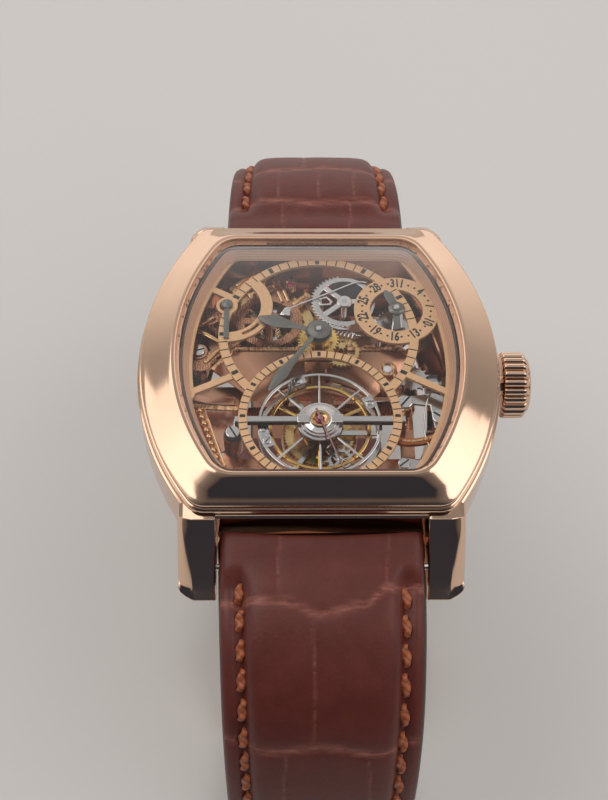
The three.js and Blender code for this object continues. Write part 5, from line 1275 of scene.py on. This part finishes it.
def make_tourbillon_bridge():
    on_bridge = (*TOURBILLON, BRIDGE_LOW)
    pieces = []
    half = [
        (0.3, BRIDGE_TOP - 0.01), (0.38, BRIDGE_TOP - 0.05), (0.42, BRIDGE_TOP - 0.12),
        (0.42, BRIDGE_LOW + 0.06), (0.36, BRIDGE_LOW),
    ]
    section = [(-y, z) for y, z in reversed(half)] + half
    for side, hand in SIDES:
        rings = [
            [(side * x, TOURBILLON[1] + y * share, z) for y, z in section]
            for x, share in ((1.9, 0.92), (2.6, 0.92), (6.6, 1.0), (7.2, 1.0), (8.6, 1.0))
        ]
        made = finish_mesh(f"bridge_bar_{hand}", *strip(rings), "steel_bright", angle=20.0)
        # Painted reflection: the bar's front faces are dark steel.
        darken(made, lambda normal: normal.y < -0.6)
        pieces.append(made)
        for name, outline, low, high, material, x in (
            ("foot", oblong(0.55, 0.42), PILLAR_BOTTOM, BRIDGE_LOW, "steel", 8.15),
            ("block", oblong(0.6, 0.48), BRIDGE_TOP - 0.4, BRIDGE_TOP + 0.1, "steel_bright", 1.7),
        ):
            place = (side * x, TOURBILLON[1])
            pieces.append(plate(f"bridge_{name}_{hand}", outline, low, high, material, place=place))
    hub = lathe("bridge_hub", [
        (0.3, 0.0), (2.35, 0.0), (2.35, 0.13), (2.28, 0.19), (2.06, 0.2), (2.0, 0.26), (2.0, 0.33),
        (1.94, 0.38), (1.74, 0.39), (1.68, 0.44), (1.62, 0.5), (1.5, 0.53), (1.2, 0.54), (1.12, 0.56),
        (1.06, 0.6), (1.02, 0.6), (1.02, 0.22), (0.3, 0.22),
    ], on_bridge, "steel_bright", segments=96, angle=20.0)
    # Painted reflection: the hub's side walls are dark steel.
    darken(hub, lambda normal: abs(normal.z) < 0.3)
    stand_in("tourbillon_bridge", "steel", *pieces, hub)
    profile = [(0.5, 0.2), (0.98, 0.2), (0.98, 0.68), (0.93, 0.71), (0.74, 0.71), (0.6, 0.62), (0.5, 0.58)]
    stand_in("bridge_chaton", "rose_gold", lathe("chaton_polished", profile, on_bridge, "gold_bar"))
    profile = [(0.21, 0.2), (0.46, 0.2), (0.46, 0.6), (0.42, 0.66), (0.32, 0.68), (0.21, 0.6)]
    stand_in("bridge_jewel", "ruby", lathe("jewel_polished", profile, on_bridge, "ruby", segments=48))


def make_carriage():
    low, high = 7.5, 7.68
    rim = plate(
        "carriage_rim", circle(CARRIAGE_RADIUS, 112), low, high, "steel_bright", "carriage",
        holes=[circle(CARRIAGE_RADIUS - 0.3, 112)], place=TOURBILLON,
    )
    hub = lathe("carriage_hub", [
        (0.05, 0.0), (0.9, 0.0), (0.9, 0.12), (0.82, 0.17), (0.4, 0.18), (0.16, 0.2), (0.16, 1.22),
        (0.05, 1.22),
    ], (*TOURBILLON, low), "steel_bright", "carriage", 48)
    spokes = arms(
        "carriage_spoke", SPOKES, 0.0, 0.6, CARRIAGE_RADIUS - 0.2, 0.22, low, high - 0.01, "steel_bright",
        "carriage", TOURBILLON,
    )
    stand_in("carriage_upper", "steel", rim, hub, *spokes)
    for number, (degrees, turn) in enumerate(((112, 0.6), (27, 0.1), (202, 0.9), (187, -0.6))):
        angle = math.radians(degrees)
        place = polar(5.75, angle, TOURBILLON)
        pad = plate(
            "carriage_pad", oblong(0.75, 0.55), high - 0.02, high + 0.05, "steel", None, bevel=0.03,
            place=place, turn=angle + math.pi / 2,
        )
        parts = slotted(place, high + 0.15, 0.42, turn, height=0.16)
        joined(f"carriage_setting_{number + 1}", [pad, *parts], "carriage")


def make_balance():
    low, high = 6.75, 7.05
    rim = plate(
        "balance_rim", circle(5.2, 112), low, high, "balance_gold", "balance", holes=[circle(4.85, 112)],
        bevel=0.06, place=TOURBILLON,
    )
    profile = [(0.12, -0.12), (0.4, -0.12), (0.4, 0.0), (0.55, 0.0), (0.55, 0.3), (0.12, 0.3)]
    hub = lathe("balance_hub", profile, (*TOURBILLON, low), "balance_gold", "balance", 40)
    staff = post("balance_staff", 0.12, 5.88, 7.5, TOURBILLON, "steel_bright", "balance", 16)
    spokes = arms(
        "balance_arm", 3, 0.5, 0.4, 4.95, 0.3, low + 0.05, high - 0.05, "balance_gold", "balance", TOURBILLON,
    )
    stand_in("balance_wheel", "brass", rim, hub, staff, *spokes)
    screws = []
    count = 14
    for number in range(count):
        angle = 2 * math.pi * number / count + 0.22
        route = [(*polar(reach, angle, TOURBILLON), (low + high) / 2) for reach in (5.15, 5.3, 5.42)]
        screws.append(tube("balance_screw", route, 0.14, "balance_gold", None, 12))
    joined("balance_screws", screws, "balance")

    turns, steps, height = 6.5, 260, 7.2
    spiral = [
        (*polar(0.72 + 1.75 * i / steps, 2 * math.pi * turns * i / steps, TOURBILLON), height)
        for i in range(steps + 1)
    ]
    stand_in("hairspring", "steel", tube("hairspring_blue", spiral, 0.045, "spring_blue", "balance", 8))


def make_seconds_hand():
    outline = [(-1.2, -0.11), (6.4, -0.06), (6.4, 0.06), (-1.2, 0.11)]
    blade = plate(
        "seconds_blade", outline, 8.72, 8.8, "bronze_rose", "carriage", bevel=0.03, place=TOURBILLON,
        turn=math.radians(-70.2),
    )
    profile = [(0.28, 8.7), (0.28, 8.82), (0.2, 8.86)]
    hub = turned("seconds_hub", profile, (*TOURBILLON, 0.0), "bronze_rose", "carriage", 32)
    stand_in("seconds_hand", "rose_gold", blade, hub)


make_tourbillon_bridge()
make_carriage()
make_balance()
make_seconds_hand()


# Movement
def make_calendar():
    centre = (2.85, 8.45)
    low, high = 8.22, 8.38
    teeth = 48
    unit = 2 * math.pi / teeth

    def part(name, outline, top, material, bevel, bottom=low, place=centre, holes=()):
        return plate(f"calendar_{name}", outline, bottom, top, material, "calendar_wheel", holes, bevel, place)

    root, tip = 3.3, 3.65
    outline = []
    for tooth in range(teeth):
        toothed = teeth * 0.27 <= tooth < teeth * 0.77
        outline.append(polar(root, tooth * unit))
        outline.append(polar(tip if toothed else root, tooth * unit + (0.4 if toothed else 0.5) * unit))
    pieces = [part("rim", outline, high, "steel", 0.045, holes=[circle(2.75, 72)])]
    for number, angle in enumerate((0.0, 2.39, 3.84)):
        outline = bar((0.0, 0.0), polar(3.0, angle), 0.62)
        pieces.append(part(f"arm_{number + 1}", outline, high - 0.005, "steel_bright", 0.07))
    profile = [(0.3, 0.0), (0.8, 0.0), (0.8, 0.15), (0.72, 0.2), (0.3, 0.2)]
    pieces.append(lathe("calendar_hub", profile, (*centre, low), "steel_bright", "calendar_wheel", 40))
    pieces.append(post("calendar_arbor", 0.3, 5.18, 8.42, centre, "steel", "calendar_wheel", 20))
    # Painted reflection: a dark sector over the wheel's web, where its polished steel mirrors a dark room.
    web_dark_reflection = [(0.0, 0.0)] + circle(2.85, 24, 0.25, 2.1)
    pieces.append(part("web_dark_reflection", web_dark_reflection, low + 0.1, "slot_dark", 0.02, low + 0.02))
    eye = [(-0.72, 0.5), (0.1, 0.66), (0.72, -0.1), (0.5, -0.5), (-0.62, -0.62), (-0.8, -0.4)]
    hole = [(x * 0.62, y * 0.62) for x, y in eye]
    place = (centre[0] - 1.95, centre[1] + 0.05)
    pieces.append(part("eye", eye, high, "steel_bright", 0.06, place=place, holes=[hole]))
    pieces.append(part("eye_tie", bar((-2.9, 0.05), (-2.5, 0.05), 0.4), high, "steel", 0.04))
    stand_in("calendar_wheel", "steel", *pieces)


def make_rack():
    pivot = (6.4, 4.6)
    slope = math.radians(-19.6)
    low, high = 7.35, 7.6
    body = "calendar_rack"
    start = Vector((-5.3, 1.15))
    teeth, pitch, root, tip = 7, 0.42, -0.2, -0.8
    outline = [(0.0, 0.25), (0.0, root)]
    for tooth in range(teeth):
        at = 0.27 + tooth * pitch
        outline += [(at - 0.02, root), (at + 0.03, tip), (at + 0.14, tip), (at + 0.2, root)]
    outline += [(3.2, -0.25), (3.2, 0.25)]
    cosine, sine = math.cos(slope), math.sin(slope)
    placed = [(start.x + x * cosine - y * sine, start.y + x * sine + y * cosine) for x, y in outline]
    arm = bar((-2.4, 0.1), (0.0, 0.0), 0.6)
    profile = [(0.3, 0.0), (0.7, 0.0), (0.7, 0.22), (0.62, 0.27), (0.3, 0.27)]
    stand_in(
        "calendar_rack", "steel", plate("rack_teeth", placed, low, high, "steel_bright", body, place=pivot),
        plate("rack_arm", arm, low, high - 0.01, "steel", body, bevel=0.06, place=pivot),
        lathe("rack_boss", profile, (*pivot, low), "steel", body, 40),
        post("rack_post", 0.35, 5.18, 7.7, pivot, "steel", body),
    )


def make_jumper():
    outline = [(-0.6, -0.55), (0.55, -0.65), (0.65, 0.5), (0.0, 0.55)]
    block = plate("jumper_block", outline, 7.1, 8.56, "steel_bright", bevel=0.12, place=(-3.5, 7.0))
    wire = path_bar("jumper_wire", [
        (-3.1, 7.3), (-2.0, 7.9), (0.5, 9.15), (3.2, 10.53), (4.0, 10.9), (4.4, 11.03), (4.8, 11.05),
        (5.3, 10.95),
    ], 0.17, 8.46, 8.56, "steel_bright", 0.03)
    stand_in("jumper_spring", "steel", block, wire)


def make_gold_bars():
    """Polished bevelled bars that lie on the barrel bridge and its feet."""
    low, seat_low = 7.06, 6.5
    bars = [
        ((-4.85, 12.5), (-3.75, 9.3), 0.32, 7.32), ((-4.2, 12.6), (-3.1, 9.4), 0.32, 7.26),
        ((-8.8, 11.4), (-7.0, 13.2), 0.42, 7.5), ((-13.3, 5.75), (-11.0, 7.15), 0.42, 7.36),
        ((-13.3, 5.75), (-9.8, 3.4), 0.42, 7.38), ((-11.9, 1.1), (-10.3, 2.95), 0.4, 7.28),
        ((-7.0, 10.4), (-4.9, 11.4), 0.3, 7.3), ((-2.6, 8.9), (-1.3, 10.2), 0.34, 7.3),
    ]
    seats = [
        ((-9.3, 10.9), (-6.6, 13.4), 1.0), ((-7.4, 10.2), (-4.2, 11.7), 0.9), ((-3.1, 8.4), (-0.9, 10.6), 0.8),
    ]
    joined("bridge_bars", [
        plate("gold_bar", bar(a, b, width), low, top, "gold_bar", None, bevel=0.09)
        for a, b, width, top in bars
    ] + [
        plate("bar_seat", bar(a, b, width), seat_low, low + 0.02, "bridge_gold", None, bevel=0.08)
        for a, b, width in seats
    ])


def make_aprons():
    """Polished copper slopes from the engraved bridge edge down to the carriage's opening."""
    level, steps, thick = 3.0, 24, 0.14
    farthest, opening = 13.2, 7.15
    low, high = 5.3, 7.0
    for name, start, end in (("left", 100.0, 147.0), ("right", 40.0, 80.0)):
        rings, edge = [], []
        for i in range(steps + 1):
            angle = math.radians(start + (end - start) * i / steps)
            reach = min(farthest, (level - TOURBILLON[1]) / math.sin(angle))
            top = [(*polar(opening, angle, TOURBILLON), low), (*polar(reach, angle, TOURBILLON), high)]
            edge.append(top[1][:2])
            rings.append(top + [(x, y, z - thick) for x, y, z in reversed(top)])
        finish_mesh(f"apron_{name}", *strip(rings), "copper_brown", angle=20.0)
        path_bar(f"apron_edge_{name}", edge, 0.5, high - 0.1, high + 0.16, "bridge_gold", 0.1)


def make_side_plates():
    """Steel bridges and their screws either side of the carriage."""
    low_plate = [(7.6, -12.6), (12.0, -12.9), (12.9, -9.6), (11.9, -9.1), (9.9, -10.6), (8.1, -10.2)]
    high_plate = [
        (8.3, -5.4), (9.3, -3.4), (11.8, -3.0), (13.2, -3.6), (13.1, -7.0), (11.6, -7.4), (11.3, -4.6),
        (9.6, -4.4),
    ]
    low, high, thick, overlap = 6.1, 7.1, 0.4, 0.02
    plate("steel_plate_low", low_plate, low, low + thick, "steel", bevel=0.09)
    plate("steel_plate_high", high_plate, high, high + thick, "steel", bevel=0.09)
    places = [((8.6, -12.0), low), ((12.2, -10.6), low), ((8.9, -4.5), high), ((12.4, -6.3), high)]
    for number, (place, under) in enumerate(places):
        post(f"side_post_{number + 1}", 0.55, PILLAR_BOTTOM, under + overlap, place, "gold_bar")
    screws = [
        ((8.4, -11.1), 6.72, 0.62, 0.7), ((8.75, -4.3), 7.78, 0.78, 0.9), ((12.25, -6.15), 7.78, 0.86, 2.5),
        ((11.6, -11.4), 6.7, 0.5, 0.2),
    ]
    for number, screw in enumerate(screws):
        joined(f"side_screw_{number + 1}", slotted(*screw))
    foot, seat = (-8.77, -8.3), (-12.62, 2.6)
    # Painted shade: the dark ring under the foot screw's head.
    ring = [(0.87, 7.5), (0.87, 7.9), (0.8, 7.96)]
    base = [(0.95, PILLAR_BOTTOM), (0.95, 7.4), (0.88, 7.5)]
    joined("left_foot_screw", slotted(foot, 8.2, 0.72, -1.08) + [
        turned("left_foot_shade_ring", ring, (*foot, 0.0), "slot_dark", None, 36),
        turned("left_foot_seat", base, (*foot, 0.0), "copper_brown", None, 36),
    ])
    ground = [(-11.87, -2.05), (-9.68, -2.06), (-9.34, -8.58), (-9.94, -8.94), (-11.69, -4.6)]
    plate("left_ground", ground, PILLAR_BOTTOM, 5.4, "copper_brown", bevel=0.08)
    ring = [(0.7, 6.4), (1.08, 6.4), (1.08, 7.12), (0.98, 7.2), (0.74, 7.2)]
    joined("left_seat_screw", slotted(seat, 7.42, 0.7, 0.35) + [
        lathe("left_seat", ring, (*seat, 0.0), "copper_brown", None, 40),
    ])
    wire = curve_points([(11.4, -3.2), (10.9, -4.6), (10.55, -7.2), (10.9, -9.0), (11.3, -10.0)], 4)
    route = [(x, y, 7.62 - 0.9 * i / (len(wire) - 1)) for i, (x, y) in enumerate(wire)]
    tube("side_wire", route, 0.09, "steel_bright")
    arc = curve_points([(6.95, -8.2), (8.6, -8.75), (10.6, -8.55), (12.6, -7.75)], 8)
    path_bar("copper_arm", arc, 0.85, 6.55, 7.1, "copper_bright", 0.2)
    path_bar("copper_arm_edge", arc, 0.3, 7.06, 7.2, "bridge_gold", 0.06)


def make_bead_strip():
    start, end = Vector((-12.45, -4.6)), Vector((-10.1, -11.9))
    along = (end - start).normalized()
    side = Vector((-along.y, along.x))
    base = bar(start - along * 0.3, end + along * 0.3, 1.5)
    pieces = [plate("bead_base", base, 6.6, 6.95, "copper_brown", None, bevel=0.1)]
    for offset in (-0.64, 0.64):
        rail = bar(start + side * offset, end + side * offset, 0.16)
        pieces.append(plate("bead_rail", rail, 6.92, 7.14, "gold_bar", None))
    count = 9
    profile = [(0.46, 6.9), (0.46, 7.0), (0.4, 7.18), (0.27, 7.34), (0.1, 7.4)]
    for bead in range(count):
        place = start.lerp(end, (bead + 0.5) / count)
        pieces.append(turned("bead", profile, (*place, 0.0), "gold_bar", None, 24))
    joined("bead_strip", pieces)
    for number, place in enumerate(((-12.3, -4.9), (-9.9, -11.2))):
        post(f"bead_post_{number + 1}", 0.5, PILLAR_BOTTOM, 6.62, place, "gold_bar")
    route = [(-13.2, -3.1), (-11.3, -3.55), (-8.6, -3.65)]
    path_bar("left_band", route, 1.0, 6.6, 6.95, "copper_brown", 0.12)
    route = [(-13.2, -4.35), (-11.3, -4.6), (-8.3, -4.75)]
    path_bar("thin_engraved_arm", route, 0.55, 6.95, 7.2, "bridge_gold", 0.08)


def make_centre():
    low = 8.14
    joined("centre_bars", [
        plate(name, bar(a, b, width), low, top, material, None, bevel=bevel)
        for name, a, b, width, top, material, bevel in (
            ("cock", (0.0, 0.7), (0.0, 2.42), 0.78, 8.56, "copper_brown", 0.07),
            ("cock_left", (-0.62, 0.9), (-0.62, 2.3), 0.16, 8.4, "gold_bar", 0.04),
            ("cock_right", (0.62, 0.9), (0.62, 2.3), 0.16, 8.4, "gold_bar", 0.04),
            ("cock_foot", (-1.4, 0.75), (1.4, 0.75), 0.7, 8.5, "copper_brown", 0.07),
        )
    ])
    outline = bar((7.2, -1.4), (7.2, 0.8), 1.7)
    block = plate("setting_block", outline, PILLAR_BOTTOM, 6.7, "bridge_gold", None, bevel=0.15)
    joined("centre_setting", [block, *jewel_setting((7.2, 0.3), 6.6, 7.25, 0.95, "stone_clear")])
    for number, place in enumerate(((-2.9, 11.9), (-8.9, 9.9), (-6.2, 12.3))):
        joined(f"bridge_jewel_{number + 1}", jewel_setting(place, 6.5, 7.2, 0.72))


def make_wheels():
    """The hour wheel gives way to a finer toothed wheel and a sleeve; a cannon pinion rides with the minute
    hand.
    """
    quarter = math.pi / 2
    wheel = plate(
        "hour_wheel_fine", gear(32, 0.13), 7.9, 8.1, "brass_bright", "hour_hand",
        holes=[sector(1.55, 1.2, q * quarter + 0.25, (q + 1) * quarter - 0.25, 10) for q in range(4)],
        bevel=0.03, place=HANDS,
    )
    profile = [(0.86, 7.9), (1.05, 7.9), (1.05, 9.29), (0.86, 9.29)]
    sleeve = lathe("hour_sleeve", profile, (*HANDS, 0.0), "brass_bright", "hour_hand", 48)
    stand_in("hour_wheel", "brass", wheel, sleeve)
    pinion = plate("cannon_pinion", gear(10, 0.13), 6.9, 7.3, "steel", "minute_hand", bevel=0.03, place=HANDS)
    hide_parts("minute_hand")


make_calendar()
make_rack()
make_jumper()
make_gold_bars()
make_aprons()
make_side_plates()
make_bead_strip()
make_centre()
make_wheels()

dress("main_plate", "copper_brown", 0.08, edge="gold_bar")
dress("movement_ring", "copper_brown")
dress("train_bridge", "bridge_brown", 0.06, edge="gold_bar")
dress("carriage_back_bridge", "bridge_brown", 0.08, edge="gold_bar")
dress("barrel_bridge", "bridge_brown", 0.1, edge="gold_bar")
dress("barrel_drum", "brass")
dress("centre_wheel third_wheel minute_wheel fixed_wheel", "brass", 0.03)
dress("barrel_arbor crown_wheel click ratchet_wheel date_star", "steel", 0.03)
dress("setting_lever crown_tube winding_stem", "steel")
dress("mainspring escape_wheel pallet_fork carriage_lower", "steel", 0.015)
dress("caseback_frame", "rose_gold", 0.06)
dress("caseback_glass", "glass")
dress("caseback_screw_1 caseback_screw_2 caseback_screw_3 caseback_screw_4", "steel", 0.03)
dress("spring_bar_upper spring_bar_lower buckle_bar", "steel", 0.03)
dress("buckle_frame", "rose_gold", 0.18, 3)
dress("buckle_tang", "rose_gold", 0.12, 3)


# Studio
WORLD_STRENGTH = 0.7


def make_floor(half=3.0):
    mesh = bpy.data.meshes.new("floor")
    mesh.from_pydata([(x, y, 0) for x, y in oblong(half, half)], [], [(0, 1, 2, 3)])
    floor = bpy.data.objects.new("floor", mesh)
    floor.location = (0, 0, FLOOR_Z * MM - 0.00002)
    bpy.context.scene.collection.objects.link(floor)
    paint = Paint("floor", (0.60, 0.585, 0.565), 0.7)
    paint.colour_from(paint.ramp(paint.noise(3.0, 2.0), (0.585, 0.57, 0.55), (0.615, 0.60, 0.58)))
    mesh.materials.append(paint.material)


def make_lamp(name, place, aim, size, power, colour, mirrored):
    """An area lamp; one that isn't mirrored lights the metal without showing in it."""
    data = bpy.data.lights.new(name, "AREA")
    data.shape = "RECTANGLE"
    data.size, data.size_y = size
    data.energy = power
    data.color = colour
    light = bpy.data.objects.new(name, data)
    light.location = place
    light.rotation_euler = (Vector(aim) - Vector(place)).to_track_quat("-Z", "Y").to_euler()
    light.visible_glossy = mirrored
    bpy.context.scene.collection.objects.link(light)


def make_world():
    """A room in bands along Y, which the polished metal mirrors."""
    world = bpy.data.worlds.new("world")
    bpy.context.scene.world = world
    world.use_nodes = True
    nodes, links = world.node_tree.nodes, world.node_tree.links
    background = nodes["Background"]
    coordinate = nodes.new("ShaderNodeTexCoord")
    split = nodes.new("ShaderNodeSeparateXYZ")
    links.new(coordinate.outputs["Generated"], split.inputs["Vector"])
    ramp = nodes.new("ShaderNodeValToRGB")
    stops = [
        (0.0, (0.06, 0.07, 0.10)), (0.29, (0.05, 0.06, 0.09)), (0.325, (0.17, 0.155, 0.15)),
        (0.45, (0.36, 0.35, 0.35)), (0.52, (1.2, 1.16, 1.11)), (0.62, (0.85, 0.83, 0.81)),
        (0.70, (0.42, 0.41, 0.40)), (0.80, (0.62, 0.61, 0.60)), (0.93, (1.6, 1.56, 1.52)),
    ]
    for index, (place, colour) in enumerate(stops):
        element = ramp.color_ramp.elements[index] if index < 2 else ramp.color_ramp.elements.new(place)
        element.position = place
        element.color = (*colour, 1)
    half = nodes.new("ShaderNodeMath")
    half.operation = "MULTIPLY_ADD"
    half.inputs[1].default_value = 0.5
    half.inputs[2].default_value = 0.5
    links.new(split.outputs["Y"], half.inputs[0])
    links.new(half.outputs["Value"], ramp.inputs["Fac"])
    links.new(ramp.outputs["Color"], background.inputs["Color"])
    background.inputs["Strength"].default_value = WORLD_STRENGTH


make_floor()
make_lamp("key", (-1.0, 0.75, 1.5), (0, 0, 0), (2.3, 2.3), 12.0, (1.0, 0.98, 0.96), False)
make_lamp("fill", (0.9, -0.55, 1.3), (0, -0.05, 0), (1.6, 1.8), 10.5, (1.0, 0.98, 0.97), False)
make_lamp("key_panel", (-0.96, 0.72, 1.44), (0, 0, 0), (1.5, 1.5), 8.6, (1.0, 0.96, 0.92), True)
make_lamp("fill_panel", (1.15, 0.25, 1.2), (0, 0, 0), (0.75, 0.95), 3.0, (1.0, 0.95, 0.93), True)
make_world()
bpy.context.scene.view_settings.view_transform = "Standard"
